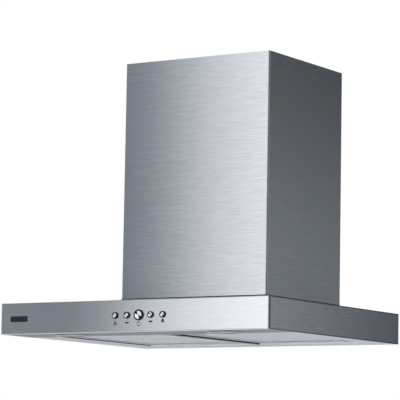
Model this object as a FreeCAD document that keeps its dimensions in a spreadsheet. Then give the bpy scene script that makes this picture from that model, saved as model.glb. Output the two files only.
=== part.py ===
"""Wall mount range hood: canopy with grease filters, lamps and push buttons, blower and telescopic chimney.

Millimetres. X runs to the right, Y towards the wall and Z up. The origin is on the wall plane,
midway along the canopy's lower rear edge.
"""
import FreeCAD, Part
import math
import os
import re

import Sketcher

SIZES = {
    # canopy
    "canopy_width": 600,
    "canopy_depth": 500,
    "canopy_height": 60,
    "canopy_sheet": 1,
    "panel_return": 8,
    "panel_bend": 1.6,
    "seam": 0.4,
    "fit": 0.3,
    "overrun": 5,
    # studs and brackets behind the front panel
    "stud_radius": 2,
    "stud_length": 7,
    "nut_radius": 3.8,
    "nut_height": 3,
    "corner_leg": 28,
    "corner_sheet": 1.5,
    "corner_margin": 12,
    "corner_stud_inset": 14,
    "corner_stud_spacing": 26,
    # underside pan and the bay for the filters
    "pan_rim": 9,
    "bay_width": 524,
    "bay_front_strip": 98,
    "bay_rear_strip": 40,
    "bay_wall": 22,
    "rail_width": 10,
    "rail_bottom": 1,
    "rail_height": 13,
    # grease filters
    "filter_recess": 5,
    "filter_height": 9,
    "filter_side_gap": 0.5,
    "filter_end_gap": 1,
    "filter_bar": 12,
    "filter_sheet": 1,
    "mesh_gap": 0.3,
    "mesh_sheet": 0.8,
    "tab_width": 20,
    "tab_length": 4,
    "tab_inset": 40,
    "tab_swing": 5,
    "tab_gap": 0.5,
    # filter latch
    "cup_width": 50,
    "cup_length": 37,
    "finger_room": 15,
    "latch_gap": 0.5,
    "latch_length": 12,
    "latch_height": 7.5,
    "tongue_width": 16,
    "tongue_height": 1.5,
    "tongue_drop": 2,
    "tongue_reach": 4.5,
    # lamps
    "lamp_spacing": 344,
    "lamp_inset": 58,
    "lamp_ring_radius": 33,
    "lamp_ring_drop": 2,
    "lamp_barrel_radius": 27,
    "lamp_barrel_height": 16,
    "lamp_wall": 1.2,
    "lens_height": 3,
    "lens_proud": 1.5,
    "lamp_can_height": 25,
    "lamp_module_radius": 20,
    "lamp_module_height": 15,
    "lamp_fin_radius": 23,
    "lamp_fin_sheet": 1.5,
    "lamp_fin_pitch": 3,
    # push buttons and their electronics
    "key_pitch": 26.5,
    "key_shift": 20,
    "key_rise": 31,
    "key_radius": 4.9,
    "power_key_radius": 8.8,
    "key_proud": 3,
    "key_dish": 0.8,
    "key_rim": 0.8,
    "key_edge": 0.3,
    "key_cap_length": 3.8,
    "key_gap": 0.3,
    "key_stem_radius": 2.4,
    "ring_wall": 0.6,
    "ring_lip": 1.4,
    "ring_proud": 0.8,
    "ring_depth": 3.5,
    "ring_hole_gap": 0.2,
    "control_margin": 16,
    "control_height": 36,
    "control_wall": 1.5,
    "control_depth": 21,
    "control_ear": 12,
    "control_ear_sheet": 2,
    "control_window_gap": 0.5,
    "board_inset": 5,
    "board_sheet": 1.6,
    "switch_side": 6,
    "switch_depth": 5,
    "key_travel": 1.2,
    "key_rest_gap": 0.2,
    "cover_sheet": 1.5,
    "post_radius": 2.5,
    "post_inset": 7,
    # badge
    "badge_width": 40,
    "badge_height": 11,
    "badge_sheet": 0.8,
    "badge_inset": 43,
    "badge_rise": 29,
    # blower box
    "box_width": 284,
    "box_depth": 258,
    "box_height": 300,
    "box_sheet": 1,
    "box_wall_gap": 4,
    "box_side_gap": 11,
    "box_front_gap": 24,
    "box_flange": 12,
    # scroll and impeller
    "scroll_axis_y": 120,
    "scroll_axis_rise": 120,
    "scroll_radius": 110,
    "scroll_step": 10,
    "scroll_half_width": 62,
    "scroll_sheet": 1.5,
    "inlet_radius": 60,
    "inlet_flange": 12,
    "inlet_nozzle": 9.5,
    "impeller_radius": 75,
    "impeller_half_width": 56,
    "impeller_blade_depth": 12.5,
    "impeller_ring": 2,
    "impeller_disc": 2,
    "blade_sheet": 1,
    "blade_lead": 7,
    "blade_inset": 1.2,
    "hub_radius": 14,
    "hub_half_length": 12,
    # motor
    "shaft_radius": 4,
    "shaft_tail": 81,
    "shaft_nose": 14,
    "shaft_clearance": 0.3,
    "motor_radius": 45,
    "motor_nose": 16,
    "motor_length": 70,
    "motor_boss_radius": 18,
    "motor_boss": 4,
    "motor_chamfer": 5,
    "band_sheet": 2,
    "band_width": 14,
    "arm_width": 14,
    "mount_circle": 66,
    "grommet_radius": 5.5,
    "grommet_length": 6,
    # capacitor
    "capacitor_radius": 16,
    "capacitor_height": 62,
    "capacitor_set_back": 62,
    "capacitor_drop": 58,
    "terminal_radius": 2,
    "terminal_rise": 6,
    "clip_band": 14,
    "clip_sheet": 1.2,
    "clip_foot": 15,
    # junction box
    "junction_width": 100,
    "junction_depth": 60,
    "junction_height": 38,
    "junction_wall": 2,
    "junction_offset": 20,
    "junction_rear": 16,
    "junction_lid": 2.5,
    "block_width": 40,
    "block_depth": 18,
    "block_height": 16,
    "gland_bore": 4,
    "gland_thread": 7.5,
    "gland_thread_length": 8,
    "gland_nut_radius": 11,
    "gland_nut_height": 5,
    "gland_dome_radius": 8.5,
    "gland_dome_height": 13,
    # outlet collar and its flaps
    "collar_radius": 60,
    "collar_sheet": 1.5,
    "collar_height": 55,
    "collar_flange": 9,
    "ledge_width": 3.5,
    "ledge_sheet": 1,
    "flap_axis_rise": 23,
    "flap_sheet": 1,
    "flap_edge_gap": 1.2,
    "flap_pin_radius": 1.5,
    "flap_pin_clearance": 0.15,
    "flap_pin_inset": 0.5,
    "knuckle_radius": 3,
    "knuckle_length": 16,
    "knuckle_near": 6,
    "knuckle_far": 34,
    "knuckle_gap": 1,
    # chimney
    "chimney_height": 492,
    "chimney_sheet": 1,
    "chimney_return": 20,
    "chimney_bend": 3,
    "chimney_flange": 14,
    "flange_inset": 24,
    "slide_gap": 0.5,
    "upper_set_down": 5,
    "vent_length": 90,
    "vent_height": 5,
    "vent_pitch": 12,
    "vent_from_top": 48,
    # wall bracket of the upper chimney
    "bracket_height": 30,
    "bracket_sheet": 2,
    "bracket_end_gap": 4,
    "bracket_clearance": 0.3,
    "bracket_ear": 40,
    "bracket_from_top": 8,
    "bracket_hole_x": 90,
    "bracket_hole_radius": 3,
    "insert_y": 28,
    "insert_radius": 4.5,
    "insert_length": 5,
    "side_hole_radius": 2.2,
    # wall rail of the hood
    "wall_rail_half_width": 115,
    "wall_rail_height": 40,
    "wall_rail_sheet": 2,
    "wall_rail_drop": 74,
    "hook_x": 60,
    "hook_width": 30,
    "hook_reach": 8.5,
    "hook_seat": 24,
    "hook_lip": 10,
    "hook_slot_gap": 2,
    "wall_hole_x": 100,
    "wall_hole_radius": 3.5,
    "access_radius": 9,
    # screws
    "screw_radius": 2,
    "screw_hole_gap": 0.2,
    "screw_head_radius": 3.5,
    "screw_head": 2.5,
    "screw_end_inset": 26,
}

LEFT, RIGHT = -1, 1
SIDES = {"left": LEFT, "right": RIGHT}
KEYS = ("lamp_button", "slower_button", "power_button", "faster_button", "boost_button")
BLADES = 36
ARMS = 3
VENTS = 6
FULL_TURN = 360
TOLERANCE = 1e-4

doc = FreeCAD.newDocument("range_hood")
sheet = doc.addObject("Spreadsheet::Sheet", "Sizes")
for row, (alias, size) in enumerate(SIZES.items(), start=1):
    sheet.set(f"A{row}", alias)
    sheet.set(f"B{row}", str(size))
    sheet.setAlias(f"B{row}", alias)
doc.recompute()

# Places worked out from the sizes, as text that the features are bound to.
FRONT = "(-canopy_depth)"
SHELL_FRONT = f"({FRONT} + panel_return + seam)"
PANEL_BACK = f"({FRONT} + canopy_sheet)"
TOP = "canopy_height"
BAY_FRONT = f"({FRONT} + bay_front_strip)"
BAY_REAR = "(-bay_rear_strip)"
FILTER_FRONT = f"({BAY_FRONT} + filter_end_gap)"
FILTER_REAR = f"({BAY_REAR} - filter_end_gap)"
FILTER_TOP = "(filter_recess + filter_height)"
FILTER_INNER = "(rail_width / 2 + filter_side_gap)"
FILTER_OUTER = "(bay_width / 2 - filter_side_gap)"
FILTER_MIDDLE = f"(({FILTER_INNER} + {FILTER_OUTER}) / 2)"
CUP_FRONT = f"({FILTER_FRONT} + filter_bar)"
CUP_REAR = f"({CUP_FRONT} + cup_length)"
LATCH_FRONT = f"({CUP_FRONT} + finger_room)"
LATCH_REAR = f"({LATCH_FRONT} + latch_length)"
LATCH_TOP = "(filter_recess + latch_height)"
TONGUE_TOP = f"({FILTER_TOP} - tongue_drop)"
TONGUE_BOTTOM = f"({TONGUE_TOP} - tongue_height)"
LAMP_Y = f"({FRONT} + lamp_inset)"
CAN_BOTTOM = "lamp_barrel_height"
CAN_TOP = f"({CAN_BOTTOM} + lamp_can_height)"
CONTROL_REAR = f"({PANEL_BACK} + control_depth)"
CONTROL_HALF = "(2 * key_pitch + control_margin)"
BOARD_FRONT = f"({CONTROL_REAR} - board_inset)"
BOARD_BACK = f"({BOARD_FRONT} + board_sheet)"
SWITCH_FRONT = f"({BOARD_FRONT} - switch_depth)"
BOX_REAR = "(-box_wall_gap)"
BOX_FRONT = f"({BOX_REAR} - box_depth)"
BOX_TOP = f"({TOP} + box_height)"
AXIS_Y = "(-scroll_axis_y)"
AXIS_Z = f"({TOP} + scroll_axis_rise)"
COLLAR_Y = f"({AXIS_Y} - scroll_radius / 2)"
COLLAR_INSIDE = "(collar_radius - collar_sheet)"
FLAP_Z = f"({BOX_TOP} + flap_axis_rise)"
INLET_FACE = "(scroll_half_width + scroll_sheet)"
ARM_FACE = f"({INLET_FACE} + grommet_length)"
MOTOR_FRONT = "(scroll_half_width - motor_nose)"
MOTOR_REAR = f"({MOTOR_FRONT} + motor_length)"
CHIMNEY_HALF = "(box_width / 2 + box_side_gap + chimney_flange)"
CHIMNEY_DEPTH = "(box_wall_gap + box_depth + box_front_gap)"
CHIMNEY_TOP = f"({TOP} + chimney_height)"
CHIMNEY_FLOOR = f"({TOP} + chimney_sheet)"
UPPER_INSET = "(chimney_sheet + slide_gap)"
UPPER_BOTTOM = f"({CHIMNEY_FLOOR} + fit)"
UPPER_TOP = f"({CHIMNEY_TOP} - upper_set_down)"
BRACKET_TOP = f"({UPPER_TOP} - bracket_from_top)"
BRACKET_HALF = "(box_width / 2 - bracket_end_gap)"
BRACKET_FRONT = f"(-({UPPER_INSET} + chimney_sheet + bracket_clearance + bracket_sheet))"
EAR_OUTSIDE = f"({CHIMNEY_HALF} - {UPPER_INSET} - chimney_sheet)"
RAIL_BOTTOM = f"({BOX_TOP} - wall_rail_drop)"
RAIL_TOP = f"({RAIL_BOTTOM} + wall_rail_height)"
HOOK_TOP = f"({RAIL_BOTTOM} + hook_seat)"
HOOK_FRONT = "(-(wall_rail_sheet + hook_reach))"
CAPACITOR_X = "(-(box_width / 2 - box_sheet - clip_sheet - capacitor_radius))"
CAPACITOR_Y = f"({BOX_FRONT} + capacitor_set_back)"
CAPACITOR_TOP = f"({BOX_TOP} - capacitor_drop)"


def bound(text):
    """The text with each size written as its cell, ready for setExpression."""
    return re.sub(r"[a-z_]+", lambda word: f"Sizes.{word[0]}" if word[0] in SIZES else word[0], str(text))


def number(text):
    """The value, in millimetres, that an expression has now."""
    return float(sheet.evalExpression(bound(text)))


def plus_minus(half, middle="0"):
    """The two ends of a span about a middle."""
    return f"{middle} - ({half})", f"{middle} + ({half})"


def on_side(side, near, far):
    """The two ends of a span on the left or right side, given by their distances from the middle."""
    return (near, far) if side == RIGHT else (f"-({far})", f"-({near})")


def signed(side, distance):
    """A distance from the middle as a place on the left or right side."""
    return distance if side == RIGHT else f"(-({distance}))"


def new_body(name, separate_solids=False):
    """An empty body. A group of like pieces is one body of separate solids."""
    body = doc.addObject("PartDesign::Body", name)
    body.Label = name
    body.AllowCompound = separate_solids
    return body


def new_sketch(body, role, offset):
    """A sketch on one of the body's own origin planes, moved by an offset in the plane's axes."""
    sketch = body.newObject("Sketcher::SketchObject", f"{body.Name}_sketch")
    base = [plane for plane in body.Origin.OriginFeatures if plane.Role == role][0]
    sketch.AttachmentSupport = [(base, "")]
    sketch.MapMode = "FlatFace"
    for axis, text in zip("xyz", offset):
        if text != "0":
            sketch.setExpression(f".AttachmentOffset.Base.{axis}", bound(text))
    return sketch


def bind(sketch, constraints, bindings):
    """Adds constraints at once and binds the ones that carry a size."""
    already = sketch.ConstraintCount
    sketch.addConstraint(constraints)
    for index, text in bindings:
        sketch.setExpression(f"Constraints[{already + index}]", bound(text))


def draw_loop(sketch, points):
    """A closed loop with each corner bound to its two expressions.

    A corner that carries a third text starts an arc of that radius, less than half a turn,
    which bulges to the right of the way that the loop runs.
    """
    first = sketch.GeometryCount
    count = len(points)
    places = [FreeCAD.Vector(number(point[0]), number(point[1]), 0) for point in points]
    constraints = []
    bindings = []
    arcs = []
    for index, point in enumerate(points):
        begin, finish = places[index], places[(index + 1) % count]
        if len(point) == 2:
            sketch.addGeometry(Part.LineSegment(begin, finish), False)
            continue
        radius = number(point[2])
        chord = finish - begin
        left = FreeCAD.Vector(-chord.y, chord.x, 0).normalize()
        centre = (begin + finish) * 0.5 + left * math.sqrt(radius**2 - (chord.Length / 2) ** 2)
        angles = [math.atan2(place.y - centre.y, place.x - centre.x) for place in (begin, finish)]
        circle = Part.Circle(centre, FreeCAD.Vector(0, 0, 1), radius)
        sketch.addGeometry(Part.ArcOfCircle(circle, *angles), False)
        arcs.append((first + index, point[2]))
    for index in range(count):
        following = (index + 1) % count
        constraints.append(Sketcher.Constraint("Coincident", first + index, 2, first + following, 1))
    for index, point in enumerate(points):
        place = places[index]
        for kind, text, value in (("DistanceX", point[0], place.x), ("DistanceY", point[1], place.y)):
            bindings.append((len(constraints), text))
            constraints.append(Sketcher.Constraint(kind, -1, 1, first + index, 1, value))
    for edge, text in arcs:
        bindings.append((len(constraints), text))
        constraints.append(Sketcher.Constraint("Radius", edge, number(text)))
    bind(sketch, constraints, bindings)


def draw_circle(sketch, centre, radius):
    """A circle with its centre and radius bound to expressions."""
    place = FreeCAD.Vector(number(centre[0]), number(centre[1]), 0)
    edge = sketch.addGeometry(Part.Circle(place, FreeCAD.Vector(0, 0, 1), number(radius)), False)
    constraints = [
        Sketcher.Constraint("DistanceX", -1, 1, edge, 3, place.x),
        Sketcher.Constraint("DistanceY", -1, 1, edge, 3, place.y),
        Sketcher.Constraint("Radius", edge, number(radius)),
    ]
    bind(sketch, constraints, [(0, centre[0]), (1, centre[1]), (2, radius)])


def extrude(body, sketch, length, cut):
    """A pad, or a pocket, along the sketch's normal."""
    kind = "Pocket" if cut else "Pad"
    feature = body.newObject(f"PartDesign::{kind}", f"{body.Name}_{kind.lower()}")
    feature.Profile = sketch
    feature.setExpression("Length", bound(length))
    feature.Reversed = cut
    return feature


def section_sketch(body, role, span, centre):
    """A sketch at the end of a span from which a pad or a pocket along its normal fills the span."""
    along = f"-({span[1]})" if role == "XZ_Plane" else span[0]
    return new_sketch(body, role, (centre[0], centre[1], along))


def prism(body, role, loops, span, cut=False, centre=("0", "0")):
    """Fills, or cuts, loops drawn on a plane over a span along the plane's normal."""
    sketch = section_sketch(body, role, span, centre)
    for loop in loops:
        draw_loop(sketch, loop)
    return extrude(body, sketch, f"({span[1]}) - ({span[0]})", cut)


def rods(body, role, centres, radius, span, cut=False):
    """Round bars, or round holes, along the normal of a plane."""
    sketch = section_sketch(body, role, span, ("0", "0"))
    for centre in centres:
        draw_circle(sketch, centre, radius)
    return extrude(body, sketch, f"({span[1]}) - ({span[0]})", cut)


def rectangle(u, v):
    """The corners of a rectangle between two places on each axis."""
    return [(u[0], v[0]), (u[1], v[0]), (u[1], v[1]), (u[0], v[1])]


def block(body, x, y, z, cut=False):
    """A rectangular block, or a rectangular cut, between two places on each axis."""
    return prism(body, "XY_Plane", [rectangle(x, y)], z, cut)


def turned(body, along, centre, points, cut=False):
    """A turned piece, from points of (place along the axis, radius), with the axis's other two places."""
    across, other = centre
    if along == "x":
        sketch = new_sketch(body, "XZ_Plane", ("0", other, f"-({across})"))
        loop, axis = points, "H_Axis"
    elif along == "y":
        sketch = new_sketch(body, "XY_Plane", (across, "0", other))
        loop, axis = [(radius, place) for place, radius in points], "V_Axis"
    else:
        sketch = new_sketch(body, "XZ_Plane", (across, "0", f"-({other})"))
        loop, axis = [(radius, place) for place, radius in points], "V_Axis"
    draw_loop(sketch, loop)
    kind = "Groove" if cut else "Revolution"
    feature = body.newObject(f"PartDesign::{kind}", f"{body.Name}_{kind.lower()}")
    feature.Profile = sketch
    feature.ReferenceAxis = (sketch, [axis])
    feature.Angle = FULL_TURN
    return feature


def ring_of(body, feature, copies):
    """Copies of a feature, evenly spaced about the normal through its sketch's own origin."""
    pattern = body.newObject("PartDesign::PolarPattern", f"{body.Name}_pattern")
    pattern.Originals = [feature]
    pattern.Axis = (feature.Profile[0], ["N_Axis"])
    pattern.Angle = FULL_TURN
    pattern.Occurrences = copies
    body.Tip = pattern
    return pattern


def round_edges(body, radius, chosen):
    """Rounds those edges of the body so far whose middle passes a test."""
    doc.recompute()
    tip = body.Tip
    edges = enumerate(tip.Shape.Edges, start=1)
    names = [f"Edge{index}" for index, edge in edges if chosen(edge.CenterOfMass)]
    fillet = body.newObject("PartDesign::Fillet", f"{body.Name}_bend")
    fillet.Base = (tip, names)
    fillet.setExpression("Radius", bound(radius))
    return fillet


def screws(name, places, seat, grip):
    """Screws along Z with their heads on a seat and their shanks reaching down through the grip."""
    body = new_body(name, separate_solids=True)
    for x, y in places:
        profile = [
            (f"{seat} - ({grip})", "0"),
            (f"{seat} - ({grip})", "screw_radius"),
            (seat, "screw_radius"),
            (seat, "screw_head_radius"),
            (f"{seat} + screw_head", "screw_head_radius - screw_head / 4"),
            (f"{seat} + screw_head", "0"),
        ]
        turned(body, "z", (x, y), profile)


def canopy_shell():
    """Top, sides and rear of the canopy, folded from one sheet, with the air opening under the blower."""
    body = new_body("canopy_shell")
    inside = "canopy_width / 2 - canopy_sheet"
    block(body, plus_minus("canopy_width / 2"), (SHELL_FRONT, "0"), ("0", TOP))
    cavity = (f"{SHELL_FRONT} - overrun", "-canopy_sheet")
    block(body, plus_minus(inside), cavity, ("-overrun", f"{TOP} - canopy_sheet"), cut=True)
    through = (f"{TOP} - canopy_sheet - overrun", f"{TOP} + overrun")
    block(body, *air_opening(), through, cut=True)
    holes = [*blower_screw_places(), *chimney_screw_places()]
    rods(body, "XY_Plane", holes, "screw_radius + screw_hole_gap", through, cut=True)


def air_opening():
    """The opening between the canopy and the blower box, inside the box's lower flange."""
    return plus_minus("box_width / 2 - box_flange"), (f"{BOX_FRONT} + box_flange", f"{BOX_REAR} - box_flange")


def blower_screw_places():
    """Places of the screws in the blower box's lower flange."""
    middle = f"({BOX_FRONT} + {BOX_REAR}) / 2"
    rows = (f"{BOX_FRONT} + screw_end_inset", middle, f"{BOX_REAR} - screw_end_inset")
    return [(signed(side, "(box_width - box_flange) / 2"), y) for side in SIDES.values() for y in rows]


def chimney_screw_places():
    """Places of the screws in the lower chimney's bottom flanges."""
    rows = ("-(flange_inset + screw_end_inset)", f"-({CHIMNEY_DEPTH} - flange_inset - screw_end_inset)")
    x = f"({CHIMNEY_HALF} - chimney_flange / 2)"
    return [(signed(side, x), y) for side in SIDES.values() for y in rows]


def key_x(name):
    """The middle of a button, from its place in the row."""
    return f"(key_shift + ({KEYS.index(name)} - ({len(KEYS)} - 1) / 2) * key_pitch)"


def key_size(name):
    """The radius of a button's cap."""
    return "power_key_radius" if name == "power_button" else "key_radius"


def control_stud_places():
    """Places of the studs that carry the control box."""
    reach = f"({CONTROL_HALF} + control_ear / 2)"
    return [(f"key_shift + {signed(side, reach)}", "key_rise") for side in SIDES.values()]


def corner_stud_places():
    """Places of the studs that carry the front panel on its corner brackets."""
    heights = plus_minus("corner_stud_spacing / 2", f"({TOP} / 2)")
    x = "(canopy_width / 2 - corner_stud_inset)"
    return [(signed(side, x), height) for side in SIDES.values() for height in heights]


def front_panel():
    """Front of the canopy, a shallow tray with rounded bends, holes for the buttons and studs behind."""
    body = new_body("front_panel")
    block(body, plus_minus("canopy_width / 2"), (FRONT, f"{FRONT} + panel_return"), ("0", TOP))
    face = number(FRONT)
    round_edges(body, "panel_bend", lambda middle: abs(middle.y - face) < TOLERANCE)
    inside = plus_minus("canopy_width / 2 - canopy_sheet")
    height = ("canopy_sheet", f"{TOP} - canopy_sheet")
    block(body, inside, (PANEL_BACK, f"{PANEL_BACK} + panel_return"), height, cut=True)
    for name in KEYS:
        radius = f"{key_size(name)} + key_gap + ring_wall + ring_hole_gap"
        span = (f"{FRONT} - overrun", f"{PANEL_BACK} + overrun")
        rods(body, "XZ_Plane", [(key_x(name), "key_rise")], radius, span, cut=True)
    studs = [*control_stud_places(), *corner_stud_places()]
    span = (f"{FRONT} + canopy_sheet / 2", f"{PANEL_BACK} + stud_length")
    rods(body, "XZ_Plane", studs, "stud_radius", span)


def corner_brackets():
    """Two angles inside the front corners, which join the front panel to the sides."""
    body = new_body("corner_brackets", separate_solids=True)
    for side in SIDES.values():
        wall = "canopy_width / 2 - canopy_sheet"
        rear, front = f"{PANEL_BACK} + corner_leg", PANEL_BACK
        inner = f"{wall} - corner_leg"
        loop = [
            (inner, front),
            (wall, front),
            (wall, rear),
            (f"{wall} - corner_sheet", rear),
            (f"{wall} - corner_sheet", f"{front} + corner_sheet"),
            (inner, f"{front} + corner_sheet"),
        ]
        placed = [(signed(side, x), y) for x, y in loop]
        prism(body, "XY_Plane", [placed], ("corner_margin", f"{TOP} - corner_margin / 2"))
    hole = "stud_radius + screw_hole_gap"
    span = (f"{PANEL_BACK} - overrun", f"{PANEL_BACK} + corner_sheet + overrun")
    rods(body, "XZ_Plane", corner_stud_places(), hole, span, cut=True)


def panel_nuts():
    """Nuts on the studs of the front panel."""
    body = new_body("panel_nuts", separate_solids=True)
    seats = {"control_ear_sheet": control_stud_places(), "corner_sheet": corner_stud_places()}
    for seat, places in seats.items():
        start = f"{PANEL_BACK} + {seat}"
        end = f"{start} + nut_height"
        ring = [(start, "stud_radius"), (start, "nut_radius"), (end, "nut_radius"), (end, "stud_radius")]
        for place in places:
            turned(body, "y", place, ring)


def lamp_places():
    """The middles of the two lamps."""
    return {name: (signed(side, "lamp_spacing / 2"), LAMP_Y) for name, side in SIDES.items()}


def underside_pan():
    """Underside of the canopy, with a rim inside the walls and a turned up bay for the two filters."""
    body = new_body("underside_pan")
    half = "canopy_width / 2 - canopy_sheet - fit"
    front, rear = SHELL_FRONT, "-(canopy_sheet + fit)"
    block(body, plus_minus(half), (front, rear), ("0", "pan_rim"))
    trough_y = (f"{front} + canopy_sheet", f"{rear} - canopy_sheet")
    trough_z = ("canopy_sheet", "pan_rim + overrun")
    block(body, plus_minus(f"{half} - canopy_sheet"), trough_y, trough_z, cut=True)
    wall_y = (f"{BAY_FRONT} - canopy_sheet", f"{BAY_REAR} + canopy_sheet")
    block(body, plus_minus("bay_width / 2 + canopy_sheet"), wall_y, ("0", "bay_wall"))
    through = ("-overrun", "bay_wall + overrun")
    block(body, plus_minus("bay_width / 2"), (BAY_FRONT, BAY_REAR), through, cut=True)
    rods(body, "XY_Plane", lamp_places().values(), "lamp_barrel_radius + fit", through, cut=True)
    front_slots = []
    rear_slots = []
    for side in SIDES.values():
        slot_half = "tongue_width / 2 + latch_gap"
        height = (f"{TONGUE_BOTTOM} - latch_gap", f"{TONGUE_TOP} + latch_gap")
        front_slots.append(rectangle(plus_minus(slot_half, signed(side, FILTER_MIDDLE)), height))
        for near, far in filter_tabs():
            span = on_side(side, f"{near} - tab_gap", f"{far} + tab_gap")
            rear_slots.append(rectangle(span, ("filter_recess - tab_gap", "filter_recess + tab_swing")))
    wall = (f"{BAY_FRONT} - canopy_sheet - overrun", f"{BAY_FRONT} + overrun")
    prism(body, "XZ_Plane", front_slots, wall, cut=True)
    wall = (f"{BAY_REAR} - overrun", f"{BAY_REAR} + canopy_sheet + overrun")
    prism(body, "XZ_Plane", rear_slots, wall, cut=True)


def filter_tabs():
    """Spans of a filter's rear tabs, as distances from the middle of the canopy."""
    inner, outer = f"({FILTER_INNER} + tab_inset)", f"({FILTER_OUTER} - tab_inset)"
    return [(inner, f"({inner} + tab_width)"), (f"({outer} - tab_width)", outer)]


def centre_rail():
    """Channel between the two filters, from the front to the rear wall of the bay."""
    body = new_body("centre_rail")
    top = "rail_bottom + rail_height"
    block(body, plus_minus("rail_width / 2"), (BAY_FRONT, BAY_REAR), ("rail_bottom", top))
    channel = ("rail_bottom + canopy_sheet", f"{top} + overrun")
    ends = (f"{BAY_FRONT} - overrun", f"{BAY_REAR} + overrun")
    block(body, plus_minus("rail_width / 2 - canopy_sheet"), ends, channel, cut=True)


def filter_frame(name, side):
    """Channel frame of a grease filter, with a finger cup at the front and two hooking tabs at the rear."""
    body = new_body(f"filter_frame_{name}")
    height = ("filter_recess", FILTER_TOP)
    block(body, on_side(side, FILTER_INNER, FILTER_OUTER), (FILTER_FRONT, FILTER_REAR), height)
    groove_x = on_side(side, f"{FILTER_INNER} + filter_sheet", f"{FILTER_OUTER} - filter_sheet")
    groove_y = (f"{FILTER_FRONT} + filter_sheet", f"{FILTER_REAR} - filter_sheet")
    groove_z = ("filter_recess + filter_sheet", f"{FILTER_TOP} - filter_sheet")
    block(body, groove_x, groove_y, groove_z, cut=True)
    window_x = on_side(side, f"{FILTER_INNER} + filter_bar", f"{FILTER_OUTER} - filter_bar")
    window_y = (f"{FILTER_FRONT} + filter_bar", f"{FILTER_REAR} - filter_bar")
    through = ("filter_recess - overrun", f"{FILTER_TOP} + overrun")
    block(body, window_x, window_y, through, cut=True)
    middle = signed(side, FILTER_MIDDLE)
    block(body, plus_minus("cup_width / 2", middle), (f"{CUP_FRONT} - filter_sheet", CUP_REAR), height)
    cup_y = (CUP_FRONT, f"{CUP_REAR} - filter_sheet")
    cup_z = ("filter_recess - overrun", f"{FILTER_TOP} - filter_sheet")
    block(body, plus_minus("cup_width / 2 - filter_sheet", middle), cup_y, cup_z, cut=True)
    slot_z = (f"{TONGUE_BOTTOM} - latch_gap", f"{TONGUE_TOP} + latch_gap")
    slot_y = (f"{FILTER_FRONT} - overrun", f"{CUP_FRONT} + overrun")
    block(body, plus_minus("tongue_width / 2 + latch_gap", middle), slot_y, slot_z, cut=True)
    for near, far in filter_tabs():
        tab_y = (f"{FILTER_REAR} - filter_sheet", f"{FILTER_REAR} + tab_length")
        block(body, on_side(side, near, far), tab_y, ("filter_recess", "filter_recess + filter_sheet"))


def filter_mesh(name, side):
    """Lower and upper mesh sheets in the channel of a filter frame, cut out round the finger cup."""
    body = new_body(f"filter_mesh_{name}", separate_solids=True)
    inset = "filter_sheet + mesh_gap"
    x = on_side(side, f"{FILTER_INNER} + {inset}", f"{FILTER_OUTER} - ({inset})")
    y = (f"{FILTER_FRONT} + {inset}", f"{FILTER_REAR} - ({inset})")
    lower, upper = f"filter_recess + {inset}", f"{FILTER_TOP} - ({inset})"
    for z in ((lower, f"{lower} + mesh_sheet"), (f"{upper} - mesh_sheet", upper)):
        block(body, x, y, z)
    notch_y = (f"{FILTER_FRONT} - overrun", f"{CUP_REAR} + mesh_gap")
    notch_x = plus_minus("cup_width / 2 + mesh_gap", signed(side, FILTER_MIDDLE))
    block(body, notch_x, notch_y, ("filter_recess - overrun", f"{FILTER_TOP} + overrun"), cut=True)


def latch(name, side):
    """Sliding finger catch of a filter, with a tongue that reaches through the front wall of the bay."""
    body = new_body(f"latch_{name}")
    middle = signed(side, FILTER_MIDDLE)
    half = "cup_width / 2 - filter_sheet - latch_gap"
    block(body, plus_minus(half, middle), (LATCH_FRONT, LATCH_REAR), ("filter_recess", LATCH_TOP))
    tongue_y = (f"{FILTER_FRONT} - tongue_reach", f"{LATCH_FRONT} + latch_length / 2")
    block(body, plus_minus("tongue_width / 2", middle), tongue_y, (TONGUE_BOTTOM, TONGUE_TOP))


def lamp(name, centre):
    """A round downlight: bezel with its barrel, glass, lamp and can."""
    inside = "lamp_barrel_radius - lamp_wall"
    body = new_body(f"lamp_bezel_{name}")
    turned(body, "z", centre, [
        ("-lamp_ring_drop", inside),
        ("-lamp_ring_drop", "lamp_ring_radius - lamp_ring_drop"),
        ("0", "lamp_ring_radius"),
        ("0", "lamp_barrel_radius"),
        ("lamp_barrel_height", "lamp_barrel_radius"),
        ("lamp_barrel_height", inside),
    ])
    body = new_body(f"lamp_glass_{name}")
    rods(body, "XY_Plane", [centre], f"{inside} - fit", ("-lens_proud", "lens_height - lens_proud"))
    body = new_body(f"lamp_can_{name}")
    rods(body, "XY_Plane", [centre], "lamp_barrel_radius", (CAN_BOTTOM, CAN_TOP))
    rods(body, "XY_Plane", [centre], inside, (f"{CAN_BOTTOM} - overrun", f"{CAN_TOP} - lamp_wall"), cut=True)
    body = new_body(f"lamp_unit_{name}")
    seat = f"({CAN_TOP} - lamp_wall)"
    bottom = f"({seat} - lamp_module_height)"
    rods(body, "XY_Plane", [centre], "lamp_module_radius", (bottom, seat))
    for step in range(2):
        start = f"({bottom} + (1 + {step}) * lamp_fin_pitch)"
        rods(body, "XY_Plane", [centre], "lamp_fin_radius", (start, f"{start} + lamp_fin_sheet"))


def badge_plate():
    """Small bare plate at the left end of the front."""
    body = new_body("badge_plate")
    middle = "(badge_inset - canopy_width / 2)"
    height = plus_minus("badge_height / 2", "badge_rise")
    block(body, plus_minus("badge_width / 2", middle), (f"{FRONT} - badge_sheet", FRONT), height)


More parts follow.
